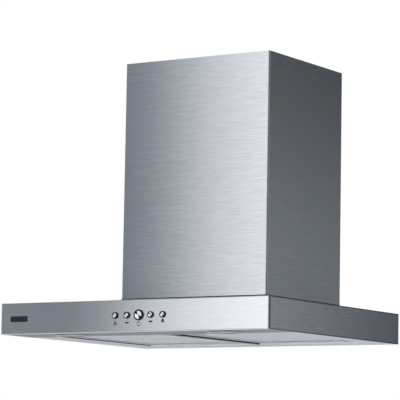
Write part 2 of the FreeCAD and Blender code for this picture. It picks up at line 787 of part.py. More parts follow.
def button_bezels():
    """Guide rings of the buttons, each a sleeve with a lip on the front panel."""
    body = new_body("button_bezels", separate_solids=True)
    for name in KEYS:
        bore = f"({key_size(name)} + key_gap)"
        sleeve = f"({bore} + ring_wall)"
        lip = f"({sleeve} + ring_lip)"
        turned(body, "y", (key_x(name), "key_rise"), [
            (f"{FRONT} - ring_proud", bore),
            (f"{FRONT} - ring_proud", f"{lip} - ring_lip / 2"),
            (f"{FRONT} - ring_proud / 2", lip),
            (FRONT, lip),
            (FRONT, sleeve),
            (f"{FRONT} + ring_depth", sleeve),
            (f"{FRONT} + ring_depth", bore),
        ])


def button(name):
    """A turned push button with a dished cap and a stem that reaches its switch."""
    body = new_body(name)
    radius = key_size(name)
    face = f"({FRONT} - key_proud)"
    back = f"({face} + key_cap_length)"
    stem_end = f"({SWITCH_FRONT} - key_rest_gap - key_travel)"
    turned(body, "y", (key_x(name), "key_rise"), [
        (f"{face} + key_dish", "0"),
        (face, f"{radius} - key_rim"),
        (face, f"{radius} - key_edge"),
        (f"{face} + key_edge", radius),
        (back, radius),
        (back, "key_stem_radius"),
        (stem_end, "key_stem_radius"),
        (stem_end, "0"),
    ])


def control_box():
    """Moulded box behind the buttons, open to the rear, with an ear at each end."""
    body = new_body("control_box")
    x = plus_minus(CONTROL_HALF, "key_shift")
    z = plus_minus("control_height / 2", "key_rise")
    block(body, x, (PANEL_BACK, CONTROL_REAR), z)
    ear_x = plus_minus(f"{CONTROL_HALF} + control_ear", "key_shift")
    ear_y = (PANEL_BACK, f"{PANEL_BACK} + control_ear_sheet")
    block(body, ear_x, ear_y, plus_minus("control_ear / 2", "key_rise"))
    room_x = plus_minus(f"{CONTROL_HALF} - control_wall", "key_shift")
    room_z = plus_minus("control_height / 2 - control_wall", "key_rise")
    block(body, room_x, (f"{PANEL_BACK} + control_wall", f"{CONTROL_REAR} + overrun"), room_z, cut=True)
    through = (f"{PANEL_BACK} - overrun", f"{PANEL_BACK} + control_ear_sheet + overrun")
    for name in KEYS:
        window = f"{key_size(name)} + key_gap + ring_wall + control_window_gap"
        rods(body, "XZ_Plane", [(key_x(name), "key_rise")], window, through, cut=True)
    rods(body, "XZ_Plane", control_stud_places(), "stud_radius + screw_hole_gap", through, cut=True)


def control_cover():
    """Rear cover of the control box, with posts that hold the board."""
    body = new_body("control_cover")
    y = (CONTROL_REAR, f"{CONTROL_REAR} + cover_sheet")
    block(body, plus_minus(CONTROL_HALF, "key_shift"), y, plus_minus("control_height / 2", "key_rise"))
    heights = plus_minus("control_height / 2 - post_inset", "key_rise")
    posts = [(x, z) for x in plus_minus(f"{CONTROL_HALF} - post_inset", "key_shift") for z in heights]
    rods(body, "XZ_Plane", posts, "post_radius", (BOARD_BACK, f"{CONTROL_REAR} + cover_sheet / 2"))


def control_board():
    """Circuit board across the control box."""
    body = new_body("control_board")
    x = plus_minus(f"{CONTROL_HALF} - control_wall - fit", "key_shift")
    z = plus_minus("control_height / 2 - control_wall - fit", "key_rise")
    block(body, x, (BOARD_FRONT, BOARD_BACK), z)


def key_switches():
    """Push switches on the board, one behind each button."""
    body = new_body("key_switches", separate_solids=True)
    half = "switch_side / 2"
    height = plus_minus(half, "key_rise")
    loops = [rectangle(plus_minus(half, key_x(name)), height) for name in KEYS]
    prism(body, "XZ_Plane", loops, (SWITCH_FRONT, BOARD_FRONT))


def blower_box():
    """Sheet metal box over the canopy's air opening, with hanging slots at the rear and the outlet on top."""
    body = new_body("blower_box")
    block(body, plus_minus("box_width / 2"), (BOX_FRONT, BOX_REAR), (TOP, BOX_TOP))
    inside_y = (f"{BOX_FRONT} + box_sheet", f"{BOX_REAR} - box_sheet")
    inside_z = (f"{TOP} + box_sheet", f"{BOX_TOP} - box_sheet")
    block(body, plus_minus("box_width / 2 - box_sheet"), inside_y, inside_z, cut=True)
    block(body, *air_opening(), (f"{TOP} - overrun", f"{TOP} + box_sheet + overrun"), cut=True)
    holes = "screw_radius + screw_hole_gap"
    span = (f"{TOP} - overrun", f"{TOP} + box_sheet + overrun")
    rods(body, "XY_Plane", blower_screw_places(), holes, span, cut=True)
    roof = (f"{BOX_TOP} - box_sheet - overrun", f"{BOX_TOP} + overrun")
    rods(body, "XY_Plane", [("0", COLLAR_Y)], COLLAR_INSIDE, roof, cut=True)
    rods(body, "XY_Plane", collar_screw_places(), holes, roof, cut=True)
    rear = (f"{BOX_REAR} - box_sheet - overrun", f"{BOX_REAR} + overrun")
    slot_z = (f"{HOOK_TOP} - wall_rail_sheet - hook_lip - hook_slot_gap", HOOK_TOP)
    half = "(hook_width + hook_slot_gap) / 2"
    slots = [rectangle(plus_minus(half, signed(side, "hook_x")), slot_z) for side in SIDES.values()]
    prism(body, "XZ_Plane", slots, rear, cut=True)
    rods(body, "XZ_Plane", wall_hole_places(), "access_radius", rear, cut=True)


def wall_hole_places():
    """Places of the wall screws in the rail."""
    return [(signed(side, "wall_hole_x"), f"{RAIL_BOTTOM} + wall_rail_height / 2") for side in SIDES.values()]


def collar_screw_places():
    """Places of the screws in the collar's flange."""
    reach = "(collar_radius + collar_flange / 2) * cos(45)"
    rows = [f"{COLLAR_Y} + {signed(row, f'({reach})')}" for row in (LEFT, RIGHT)]
    return [(signed(side, reach), y) for side in SIDES.values() for y in rows]


def wall_rail():
    """Rail screwed to the wall, with two upturned hooks that the blower box hangs on."""
    body = new_body("wall_rail")
    block(body, plus_minus("wall_rail_half_width"), ("-wall_rail_sheet", "0"), (RAIL_BOTTOM, RAIL_TOP))
    for side in SIDES.values():
        x = plus_minus("hook_width / 2", signed(side, "hook_x"))
        block(body, x, (HOOK_FRONT, "-wall_rail_sheet / 2"), (f"{HOOK_TOP} - wall_rail_sheet", HOOK_TOP))
        lip_z = (f"{HOOK_TOP} - wall_rail_sheet", f"{HOOK_TOP} + hook_lip")
        block(body, x, (HOOK_FRONT, f"{HOOK_FRONT} + wall_rail_sheet"), lip_z)
    span = ("-(wall_rail_sheet + overrun)", "overrun")
    rods(body, "XZ_Plane", wall_hole_places(), "wall_hole_radius", span, cut=True)


def scroll_loop(sheet_in, rise):
    """Outline of the scroll case: three quarter turns of growing radius and the upright outlet.

    The inside is moved in by the sheet and runs on past the top of the box by the rise.
    """
    low_y, high_y = plus_minus("scroll_step / 2", AXIS_Y)
    low_z, high_z = plus_minus("scroll_step / 2", AXIS_Z)
    large, middle, small = [f"(scroll_radius - {step} * scroll_step - {sheet_in})" for step in range(3)]
    top = f"{BOX_TOP} - box_sheet + {rise}"
    tongue = f"{low_z} + {small}"
    loop = [
        (f"{low_y} - {large}", top),
        (f"{low_y} - {large}", high_z, large),
        (low_y, f"{low_z} - {middle}", middle),
        (f"{high_y} + {small}", low_z, small),
        (high_y, tongue),
    ]
    if sheet_in != "0":
        loop.append((f"{high_y} - {sheet_in}", tongue))
    return [*loop, (f"{high_y} - {sheet_in}", top)]


def scroll(name, side):
    """Half of the scroll case, open at the middle, with the air inlet in its side."""
    body = new_body(f"scroll_{name}")
    prism(body, "YZ_Plane", [scroll_loop("0", "0")], on_side(side, "0", "scroll_half_width"))
    inside = on_side(side, "-overrun", "scroll_half_width - scroll_sheet")
    prism(body, "YZ_Plane", [scroll_loop("scroll_sheet", "overrun")], inside, cut=True)
    wall = on_side(side, "scroll_half_width - scroll_sheet - overrun", "scroll_half_width + overrun")
    rods(body, "YZ_Plane", [(AXIS_Y, AXIS_Z)], "inlet_radius + fit", wall, cut=True)


def inlet_ring(name, side):
    """Bell mouth ring on the side of the scroll case."""
    body = new_body(f"inlet_ring_{name}")
    bore = "inlet_radius - scroll_sheet"
    profile = [
        ("scroll_half_width - inlet_nozzle", bore),
        ("scroll_half_width - inlet_nozzle", "inlet_radius"),
        ("scroll_half_width", "inlet_radius"),
        ("scroll_half_width", "inlet_radius + inlet_flange"),
        (INLET_FACE, "inlet_radius + inlet_flange"),
        (INLET_FACE, bore),
    ]
    turned(body, "x", (AXIS_Y, AXIS_Z), [(signed(side, place), radius) for place, radius in profile])


def impeller():
    """Squirrel cage impeller on its hub."""
    body = new_body("impeller")
    turned(body, "x", (AXIS_Y, AXIS_Z), [
        ("-hub_half_length", "shaft_radius"),
        ("-hub_half_length", "hub_radius"),
        ("-impeller_disc / 2", "hub_radius"),
        ("-impeller_disc / 2", "impeller_radius"),
        ("impeller_disc / 2", "impeller_radius"),
        ("impeller_disc / 2", "hub_radius"),
        ("hub_half_length", "hub_radius"),
        ("hub_half_length", "shaft_radius"),
    ])
    inner = "impeller_radius - impeller_blade_depth"
    start, end = f"{inner} + blade_inset", "impeller_radius - blade_inset"
    low, high = plus_minus("blade_sheet / 2")
    blade = [(start, low), (end, f"blade_lead + {low}"), (end, f"blade_lead + {high}"), (start, high)]
    span = plus_minus("impeller_half_width - impeller_ring / 2")
    ring_of(body, prism(body, "YZ_Plane", [blade], span, centre=(AXIS_Y, AXIS_Z)), BLADES)
    near, far = "impeller_half_width - impeller_ring", "impeller_half_width"
    ring = [(near, inner), (near, "impeller_radius"), (far, "impeller_radius"), (far, inner)]
    for side in SIDES.values():
        turned(body, "x", (AXIS_Y, AXIS_Z), [(signed(side, place), radius) for place, radius in ring])


def motor_shaft():
    """Shaft through the impeller's hub into the motor."""
    body = new_body("motor_shaft")
    rods(body, "YZ_Plane", [(AXIS_Y, AXIS_Z)], "shaft_radius", ("-shaft_nose", "shaft_tail"))


def motor_body():
    """Motor on the right side of the scroll case, with a boss at each end and a bore for the shaft."""
    body = new_body("motor_body")
    bore = "shaft_radius + shaft_clearance"
    bore_end = "shaft_tail + motor_boss"
    turned(body, "x", (AXIS_Y, AXIS_Z), [
        (f"{MOTOR_FRONT} - motor_boss", bore),
        (f"{MOTOR_FRONT} - motor_boss", "motor_boss_radius"),
        (MOTOR_FRONT, "motor_boss_radius"),
        (MOTOR_FRONT, "motor_radius - motor_chamfer"),
        (f"{MOTOR_FRONT} + motor_chamfer", "motor_radius"),
        (f"{MOTOR_REAR} - motor_chamfer", "motor_radius"),
        (MOTOR_REAR, "motor_radius - motor_chamfer"),
        (MOTOR_REAR, "motor_boss_radius"),
        (f"{MOTOR_REAR} + motor_boss", "motor_boss_radius"),
        (f"{MOTOR_REAR} + motor_boss", "0"),
        (bore_end, "0"),
        (bore_end, bore),
    ])


def motor_bracket():
    """Band round the motor with three arms that reach the rubber mounts."""
    body = new_body("motor_bracket")
    inner, outer = "motor_radius", "motor_radius + band_sheet"
    rear = f"{ARM_FACE} + band_width"
    turned(body, "x", (AXIS_Y, AXIS_Z), [(ARM_FACE, inner), (ARM_FACE, outer), (rear, outer), (rear, inner)])
    reach = ("motor_radius + band_sheet / 2", "mount_circle + grommet_radius")
    arm = rectangle(reach, plus_minus("arm_width / 2"))
    span = (ARM_FACE, f"{ARM_FACE} + band_sheet")
    ring_of(body, prism(body, "YZ_Plane", [arm], span, centre=(AXIS_Y, AXIS_Z)), ARMS)


def motor_grommets():
    """Rubber mounts between the motor's arms and the inlet ring."""
    body = new_body("motor_grommets", separate_solids=True)
    places = []
    for arm in range(ARMS):
        turn = f"{arm} * {FULL_TURN} / {ARMS}"
        places.append((f"{AXIS_Y} + mount_circle * cos({turn})", f"{AXIS_Z} + mount_circle * sin({turn})"))
    rods(body, "YZ_Plane", places, "grommet_radius", (INLET_FACE, ARM_FACE))


def capacitor():
    """Motor capacitor with its two terminals."""
    body = new_body("capacitor")
    can = (f"{CAPACITOR_TOP} - capacitor_height", CAPACITOR_TOP)
    rods(body, "XY_Plane", [(CAPACITOR_X, CAPACITOR_Y)], "capacitor_radius", can)
    pins = [(CAPACITOR_X, y) for y in plus_minus("capacitor_radius / 2", CAPACITOR_Y)]
    rods(body, "XY_Plane", pins, "terminal_radius", plus_minus("terminal_rise", CAPACITOR_TOP))


def capacitor_clip():
    """Spring steel band that holds the capacitor against the wall of the blower box."""
    body = new_body("capacitor_clip")
    height = plus_minus("clip_band / 2", f"({CAPACITOR_TOP} - capacitor_height / 2)")
    foot_x = ("-(box_width / 2 - box_sheet)", f"{CAPACITOR_X} - capacitor_radius")
    block(body, foot_x, plus_minus("capacitor_radius + clip_foot", CAPACITOR_Y), height)
    rods(body, "XY_Plane", [(CAPACITOR_X, CAPACITOR_Y)], "capacitor_radius + clip_sheet", height)
    through = (f"{height[0]} - overrun", f"{height[1]} + overrun")
    rods(body, "XY_Plane", [(CAPACITOR_X, CAPACITOR_Y)], "capacitor_radius", through, cut=True)


def junction_box():
    """Wiring box on top of the blower box, its front lid, the terminal block and the cable gland on top."""
    x = plus_minus("junction_width / 2", "-junction_offset")
    y = ("-(junction_rear + junction_depth)", "-junction_rear")
    rim = f"({BOX_TOP} + junction_height)"
    body = new_body("junction_box")
    block(body, x, y, (BOX_TOP, rim))
    room_x = (f"{x[0]} + junction_wall", f"{x[1]} - junction_wall")
    room_y = (f"{y[0]} - overrun", f"{y[1]} - junction_wall")
    floor = f"({BOX_TOP} + junction_wall)"
    block(body, room_x, room_y, (floor, f"{rim} - junction_wall"), cut=True)
    middle_y = "(-(junction_rear + junction_depth / 2))"
    centre = ("(-(junction_offset + junction_width / 4))", middle_y)
    wall = (f"{rim} - junction_wall - overrun", f"{rim} + overrun")
    rods(body, "XY_Plane", [centre], "gland_thread", wall, cut=True)
    body = new_body("junction_lid")
    block(body, x, (f"{y[0]} - junction_lid", y[0]), (BOX_TOP, rim))
    body = new_body("terminal_block")
    block_x = plus_minus("block_width / 2", "-junction_offset")
    block_y = plus_minus("block_depth / 2", middle_y)
    block(body, block_x, block_y, (floor, f"{floor} + block_height"))
    cable_gland(centre, rim)


def cable_gland(centre, seat):
    """Strain relief gland for the supply lead, with its thread through the wall that it sits on."""
    body = new_body("cable_gland")
    bottom = f"({seat} - gland_thread_length)"
    nut = f"({seat} + gland_nut_height)"
    top = f"({nut} + gland_dome_height)"
    turned(body, "z", centre, [
        (bottom, "gland_bore"),
        (bottom, "gland_thread"),
        (nut, "gland_thread"),
        (nut, "gland_dome_radius"),
        (top, "gland_thread"),
        (top, "gland_bore"),
    ])
    corners = [f"{corner} * {FULL_TURN} / 6" for corner in range(6)]
    hexagon = [(f"gland_nut_radius * cos({turn})", f"gland_nut_radius * sin({turn})") for turn in corners]
    prism(body, "XY_Plane", [hexagon], (seat, nut), centre=centre)
    rods(body, "XY_Plane", [centre], "gland_bore", (f"{bottom} - overrun", f"{top} + overrun"), cut=True)


def outlet_collar():
    """Round duct spigot on its screwed flange, with an inner ledge for the flaps."""
    body = new_body("outlet_flange")
    face = f"({BOX_TOP} + collar_sheet)"
    rim = "collar_radius + collar_flange"
    ring = [(BOX_TOP, COLLAR_INSIDE), (BOX_TOP, rim), (face, rim), (face, COLLAR_INSIDE)]
    turned(body, "z", ("0", COLLAR_Y), ring)
    through = (f"{BOX_TOP} - overrun", f"{face} + overrun")
    rods(body, "XY_Plane", collar_screw_places(), "screw_radius + screw_hole_gap", through, cut=True)
    body = new_body("outlet_collar")
    ledge_top = f"({FLAP_Z} - flap_sheet / 2 - fit)"
    ledge_bottom = f"({ledge_top} - ledge_sheet)"
    turned(body, "z", ("0", COLLAR_Y), [
        (face, COLLAR_INSIDE),
        (face, "collar_radius"),
        (f"{BOX_TOP} + collar_height", "collar_radius"),
        (f"{BOX_TOP} + collar_height", COLLAR_INSIDE),
        (ledge_top, COLLAR_INSIDE),
        (ledge_top, f"{COLLAR_INSIDE} - ledge_width"),
        (ledge_bottom, f"{COLLAR_INSIDE} - ledge_width"),
        (ledge_bottom, COLLAR_INSIDE),
    ])
    bore = "flap_pin_radius + flap_pin_clearance"
    rods(body, "YZ_Plane", [(COLLAR_Y, FLAP_Z)], bore, plus_minus("collar_radius + overrun"), cut=True)


def flap_pin():
    """Pin across the collar that both flaps turn on."""
    body = new_body("flap_pin")
    span = plus_minus("collar_radius - flap_pin_inset")
    rods(body, "YZ_Plane", [(COLLAR_Y, FLAP_Z)], "flap_pin_radius", span)


def flap(name, side):
    """Half disc backdraught flap with two knuckles on the pin. The other flap's knuckles lie between them."""
    body = new_body(f"flap_{name}")
    radius = f"({COLLAR_INSIDE} - flap_edge_gap)"
    height = plus_minus("flap_sheet / 2", FLAP_Z)
    rods(body, "XY_Plane", [("0", COLLAR_Y)], radius, height)
    keep = "knuckle_radius + knuckle_gap"
    away = (f"{COLLAR_Y} - ({radius} + overrun)", f"{COLLAR_Y} + {keep}")
    if side == LEFT:
        away = (f"{COLLAR_Y} - ({keep})", f"{COLLAR_Y} + {radius} + overrun")
    through = (f"{height[0]} - overrun", f"{height[1]} + overrun")
    block(body, plus_minus(f"{radius} + overrun"), away, through, cut=True)
    near = on_side(side, "knuckle_near", "knuckle_near + knuckle_length")
    far = on_side(-side, "knuckle_far", "knuckle_far + knuckle_length")
    for span in (near, far):
        web = (COLLAR_Y, f"{COLLAR_Y} + {keep} + knuckle_gap")
        if side == LEFT:
            web = (f"{COLLAR_Y} - ({keep} + knuckle_gap)", COLLAR_Y)
        block(body, span, web, height)
        rods(body, "YZ_Plane", [(COLLAR_Y, FLAP_Z)], "knuckle_radius", span)
    bore = "flap_pin_radius + flap_pin_clearance"
    rods(body, "YZ_Plane", [(COLLAR_Y, FLAP_Z)], bore, plus_minus("collar_radius"), cut=True)


def cover_loop(inset):
    """Outline of a chimney cover from above, with bends at the two front corners, moved in by an inset."""
    half, front = f"({CHIMNEY_HALF} - ({inset}))", f"(({inset}) - {CHIMNEY_DEPTH})"
    bend = f"(chimney_bend - ({inset}))"
    rear = f"(-({inset}))"
    return [
        (f"-{half}", rear),
        (f"-{half}", f"{front} + {bend}", bend),
        (f"-{half} + {bend}", front),
        (f"{half} - {bend}", front, bend),
        (half, f"{front} + {bend}"),
        (half, rear),
    ]


def chimney_cover(name, inset, height):
    """A chimney cover: front, sides and narrow returns at the wall."""
    body = new_body(name)
    prism(body, "XY_Plane", [cover_loop(inset)], height)
    through = (f"{height[0]} - overrun", f"{height[1]} + overrun")
    prism(body, "XY_Plane", [cover_loop(f"{inset} + chimney_sheet")], through, cut=True)
    back = (f"-({inset} + chimney_sheet + overrun)", "overrun")
    block(body, plus_minus(f"{CHIMNEY_HALF} - {inset} - chimney_return"), back, through, cut=True)
    return body


def lower_chimney():
    """Lower chimney cover, screwed to the canopy through two bottom flanges."""
    body = chimney_cover("lower_chimney", "0", (TOP, CHIMNEY_TOP))
    for side in SIDES.values():
        x = on_side(side, f"{CHIMNEY_HALF} - chimney_flange", f"{CHIMNEY_HALF} - chimney_sheet / 2")
        block(body, x, (f"flange_inset - {CHIMNEY_DEPTH}", "-flange_inset"), (TOP, CHIMNEY_FLOOR))
    through = (f"{TOP} - overrun", f"{CHIMNEY_FLOOR} + overrun")
    rods(body, "XY_Plane", chimney_screw_places(), "screw_radius + screw_hole_gap", through, cut=True)


def upper_chimney():
    """Upper chimney cover, which slides up out of the lower one, with air slots near the top of its sides."""
    body = chimney_cover("upper_chimney", UPPER_INSET, (UPPER_BOTTOM, UPPER_TOP))
    slots = []
    slot_y = plus_minus("vent_length / 2", f"-{CHIMNEY_DEPTH} / 2")
    for vent in range(VENTS):
        top = f"({UPPER_TOP} - vent_from_top - {vent} * vent_pitch)"
        slots.append(rectangle(slot_y, (f"{top} - vent_height", top)))
    prism(body, "YZ_Plane", slots, plus_minus(CHIMNEY_HALF), cut=True)
    rods(body, "YZ_Plane", [insert_place()], "side_hole_radius", plus_minus(CHIMNEY_HALF), cut=True)


def insert_place():
    """Where the threaded inserts sit in the bracket's ears."""
    return "-insert_y", f"{BRACKET_TOP} - bracket_height / 2"


def chimney_bracket():
    """Wall strap with joggled ends and ears that the upper chimney cover is screwed to."""
    body = new_body("chimney_bracket")
    height = (f"{BRACKET_TOP} - bracket_height", BRACKET_TOP)
    block(body, plus_minus(BRACKET_HALF), ("-bracket_sheet", "0"), height)
    for side in SIDES.values():
        web_x = on_side(side, f"{BRACKET_HALF} - bracket_sheet", BRACKET_HALF)
        block(body, web_x, (BRACKET_FRONT, "0"), height)
        plate_x = on_side(side, f"{BRACKET_HALF} - bracket_sheet", EAR_OUTSIDE)
        block(body, plate_x, (BRACKET_FRONT, f"{BRACKET_FRONT} + bracket_sheet"), height)
        ear_x = on_side(side, f"{EAR_OUTSIDE} - bracket_sheet", EAR_OUTSIDE)
        block(body, ear_x, (f"{BRACKET_FRONT} - bracket_ear", f"{BRACKET_FRONT} + bracket_sheet"), height)
    middle = f"{BRACKET_TOP} - bracket_height / 2"
    holes = [(signed(side, "bracket_hole_x"), middle) for side in SIDES.values()]
    rods(body, "XZ_Plane", holes, "bracket_hole_radius", ("-(bracket_sheet + overrun)", "overrun"), cut=True)
    rods(body, "YZ_Plane", [insert_place()], "side_hole_radius", plus_minus(CHIMNEY_HALF), cut=True)


def bracket_inserts():
    """Threaded inserts on the inner faces of the bracket's ears."""
    body = new_body("bracket_inserts", separate_solids=True)
    y, z = insert_place()
    face = f"({EAR_OUTSIDE} - bracket_sheet)"
    for side in SIDES.values():
        inner = f"({face} - insert_length)"
        bore, rim = "side_hole_radius", "insert_radius"
        ring = [(face, bore), (face, rim), (inner, rim), (inner, bore)]
        turned(body, "x", (y, z), [(signed(side, place), radius) for place, radius in ring])


def fasteners():
    """Screws of the blower box, the collar and the lower chimney."""
    screws("blower_screws", blower_screw_places(), f"({TOP} + box_sheet)", "box_sheet + canopy_sheet")
    screws("collar_screws", collar_screw_places(), f"({BOX_TOP} + collar_sheet)", "collar_sheet + box_sheet")
    body = new_body("chimney_screws", separate_solids=True)
    seat = f"({TOP} - canopy_sheet)"
    for x, y in chimney_screw_places():
        turned(body, "z", (x, y), [
            (CHIMNEY_FLOOR, "0"),
            (CHIMNEY_FLOOR, "screw_radius"),
            (seat, "screw_radius"),
            (seat, "screw_head_radius"),
            (f"{seat} - screw_head", "screw_head_radius - screw_head / 4"),
            (f"{seat} - screw_head", "0"),
        ])


def build():
    """Makes every sub-part."""
    canopy_shell()
    front_panel()
    corner_brackets()
    panel_nuts()
    underside_pan()
    centre_rail()
    badge_plate()
    button_bezels()
    for name in KEYS:
        button(name)
    control_box()
    control_cover()
    control_board()
    key_switches()
    for name, side in SIDES.items():
        filter_frame(name, side)
        filter_mesh(name, side)
        latch(name, side)
        scroll(name, side)
        inlet_ring(name, side)
    for name, centre in lamp_places().items():
        lamp(name, centre)
    blower_box()
    impeller()
    motor_shaft()
    motor_body()
    motor_bracket()
    motor_grommets()
    capacitor()
    capacitor_clip()
    junction_box()
    outlet_collar()
    flap_pin()
    flap("front", LEFT)
    flap("rear", RIGHT)
    lower_chimney()
    upper_chimney()
    chimney_bracket()
    bracket_inserts()
    wall_rail()
    fasteners()


def faults():
    """Names what failed to build."""
    found = [f"{item.Name}: {item.State}" for item in doc.Objects if {"Invalid", "Error"} & set(item.State)]
    for body in doc.findObjects("PartDesign::Body"):
        if body.Shape.isNull() or not body.Shape.isValid() or not body.Shape.Solids:
            found.append(f"{body.Label}: no valid solid")
    return found


def export():
    """Writes each sub-part to its own STEP file."""
    os.makedirs("parts", exist_ok=True)
    for body in doc.findObjects("PartDesign::Body"):
        body.Shape.exportStep(f"parts/{body.Label}.step")
        print(body.Label, len(body.Shape.Solids), round(body.Shape.Volume))


build()
doc.recompute()
problems = faults()
if problems:
    raise RuntimeError("; ".join(problems))
export()
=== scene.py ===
"""Looks of the wall mount range hood: brushed sheet steel, turned buttons, filters and lamps."""

import math

import bmesh
import bpy
from mathutils import Matrix, Vector

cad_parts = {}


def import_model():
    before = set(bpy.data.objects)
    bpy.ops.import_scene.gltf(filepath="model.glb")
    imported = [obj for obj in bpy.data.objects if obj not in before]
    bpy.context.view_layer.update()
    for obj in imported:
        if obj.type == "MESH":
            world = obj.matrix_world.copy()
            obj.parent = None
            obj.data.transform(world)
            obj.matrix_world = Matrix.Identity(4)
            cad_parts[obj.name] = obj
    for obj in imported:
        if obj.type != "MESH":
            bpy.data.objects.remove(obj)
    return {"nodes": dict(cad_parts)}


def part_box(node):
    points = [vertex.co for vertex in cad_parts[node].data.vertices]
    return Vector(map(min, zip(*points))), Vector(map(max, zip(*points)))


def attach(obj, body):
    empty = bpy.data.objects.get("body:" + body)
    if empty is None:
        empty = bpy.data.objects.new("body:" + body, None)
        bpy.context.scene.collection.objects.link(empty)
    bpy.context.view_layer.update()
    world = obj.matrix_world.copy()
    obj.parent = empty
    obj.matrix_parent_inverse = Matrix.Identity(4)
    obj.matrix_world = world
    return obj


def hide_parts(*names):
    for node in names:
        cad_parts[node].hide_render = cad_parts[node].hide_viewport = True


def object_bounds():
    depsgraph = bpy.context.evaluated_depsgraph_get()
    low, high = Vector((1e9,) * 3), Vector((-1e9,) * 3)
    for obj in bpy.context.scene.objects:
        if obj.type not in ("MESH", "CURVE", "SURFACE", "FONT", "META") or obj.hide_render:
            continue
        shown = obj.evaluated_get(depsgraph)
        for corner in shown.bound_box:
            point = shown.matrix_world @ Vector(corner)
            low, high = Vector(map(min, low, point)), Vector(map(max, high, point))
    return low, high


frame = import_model()
CAD_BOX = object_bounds()
NODES = frame["nodes"]
MM = 0.001
SIDES = ("left", "right")
# The buttons and their rings are the foremost pieces, and stand this far before the front panel.
RING_PROUD = 3 * MM
PANEL_FACE = CAD_BOX[0].y + RING_PROUD
# Edges of turned and rounded pieces are sharp beyond this angle, in degrees.
SMOOTH_ANGLE = 35

# The photograph's view, fitted to the corners of the canopy and the chimney.
CAMERA_PLACE = Vector((2.404, -4.028, -0.258))
CAMERA_YAW = math.radians(32.573)
CAMERA_PITCH = math.radians(6.772)
CAMERA_ROLL = math.radians(1.0)
CAMERA_LENS = 206.857
CAMERA_SENSOR = 36.0

# Colours of the studio cards where they are dark and bright, and (place in metres, level) stops along
# them, which shade the steel from left to right and from low to high.
FRONT_COLOURS = ("c4def5", "f9fafd")
SIDE_COLOURS = ("e0ecf6", "fafbfc")
FRONT_STOPS = ((-11.0, 0.6), (-8.0, 0.45), (-6.2, 0.02), (-5.6, 0.02), (-4.95, 0.1), (-4.72, 0.35),
               (-4.5, 0.33), (-4.3, 0.24), (-4.12, 0.06), (-4.0, 0.08), (-3.8, 0.47), (-3.63, 0.93),
               (-3.4, 1.03), (-3.3, 1.08), (-3.15, 1.24), (-3.03, 1.36), (-2.75, 1.4), (-2.2, 0.5),
               (-1.2, 0.3), (-0.4, 0.5), (0.3, 0.8), (1.2, 0.6), (3.0, 0.35), (6.0, 0.2))
LOW_STOPS = ((-2.2, 0.2), (-0.95, 0.22), (-0.6, 0.4), (-0.15, 0.9))
SIDE_STOPS = ((1.2, 0.124), (1.83, 0.17), (1.98, 0.197), (2.13, 0.23), (2.25, 0.243), (2.5, 0.28),
              (2.8, 0.18), (3.3, 0.08), (3.6, 0.1), (6.0, 0.6))
SIDE_HEIGHT_STOPS = ((-0.4, 0.9), (0.22, 0.92), (0.36, 1.52), (0.6, 1.22), (0.8, 0.77), (1.24, 0.34),
                     (1.7, 0.24), (2.3, 1.5), (5.0, 1.8))
PLAIN_LEVEL = ((0.0, 0.5), (7.0, 0.5))

# Sockets of a colour mix, whose names repeat.
FACTOR, FIRST, SECOND, MIXED = 0, 6, 7, 2


def linear(colour):
    """The linear RGBA of an sRGB hex colour."""
    parts = [int(colour[start:start + 2], 16) / 255 for start in (0, 2, 4)]
    parts = [part / 12.92 if part <= 0.04045 else ((part + 0.055) / 1.055) ** 2.4 for part in parts]
    return (*parts, 1.0)


def feed(tree, node, inputs):
    """Gives a node its inputs. Each is a value, a socket, or a node whose first output it takes."""
    for name, value in inputs.items():
        if isinstance(value, bpy.types.Node):
            value = value.outputs[0]
        if isinstance(value, bpy.types.NodeSocket):
            tree.links.new(value, node.inputs[name])
        else:
            node.inputs[name].default_value = value


def add(tree, kind, inputs=None, **settings):
    """Adds a node with its settings and its inputs."""
    made = tree.nodes.new(kind)
    for name, value in settings.items():
        setattr(made, name, value)
    feed(tree, made, inputs or {})
    return made


def new_material(name, **inputs):
    """A material with one Principled shader, its own values set on the shader's sockets."""
    material = bpy.data.materials.new(name)
    material.use_nodes = True
    tree = material.node_tree
    tree.nodes.clear()
    values = {key.replace("_", " "): value for key, value in inputs.items()}
    shader = add(tree, "ShaderNodeBsdfPrincipled", values)
    add(tree, "ShaderNodeOutputMaterial", {"Surface": shader})
    return material, tree, shader


def layered(tree, colour, *layers, blend="MIX"):
    """A colour with others laid over it. Layers are (share, hex colour) pairs."""
    for share, tint in layers:
        inputs = {FACTOR: share, FIRST: colour, SECOND: linear(tint)}
        colour = add(tree, "ShaderNodeMix", inputs, data_type="RGBA", blend_type=blend).outputs[MIXED]
    return colour


def object_axes(tree):
    """X, Y and Z of a piece's own coordinates, in metres."""
    place = add(tree, "ShaderNodeTexCoord").outputs["Object"]
    return add(tree, "ShaderNodeSeparateXYZ", {0: place}).outputs


def brushed_place(tree, streak, pitch):
    """Object coordinates stretched so that streaks run level on upright faces and across on flat ones."""
    place = add(tree, "ShaderNodeTexCoord").outputs["Object"]
    normal = add(tree, "ShaderNodeNewGeometry").outputs["True Normal"]
    upward = add(tree, "ShaderNodeSeparateXYZ", {0: normal}).outputs["Z"]
    flat = add(tree, "ShaderNodeMath", {0: upward}, operation="ABSOLUTE")
    across = add(tree, "ShaderNodeMapRange", {"Value": flat, "To Min": 1 / streak, "To Max": 1 / pitch})
    scale = add(tree, "ShaderNodeCombineXYZ", {"X": 1 / streak, "Y": across, "Z": 1 / pitch})
    return add(tree, "ShaderNodeVectorMath", {0: place, 1: scale}, operation="MULTIPLY")


def upright_tangent(tree):
    """The way in which a brushed face draws what it mirrors: up and down."""
    return add(tree, "ShaderNodeCombineXYZ", {"X": 0.0, "Y": 0.02, "Z": 1.0})


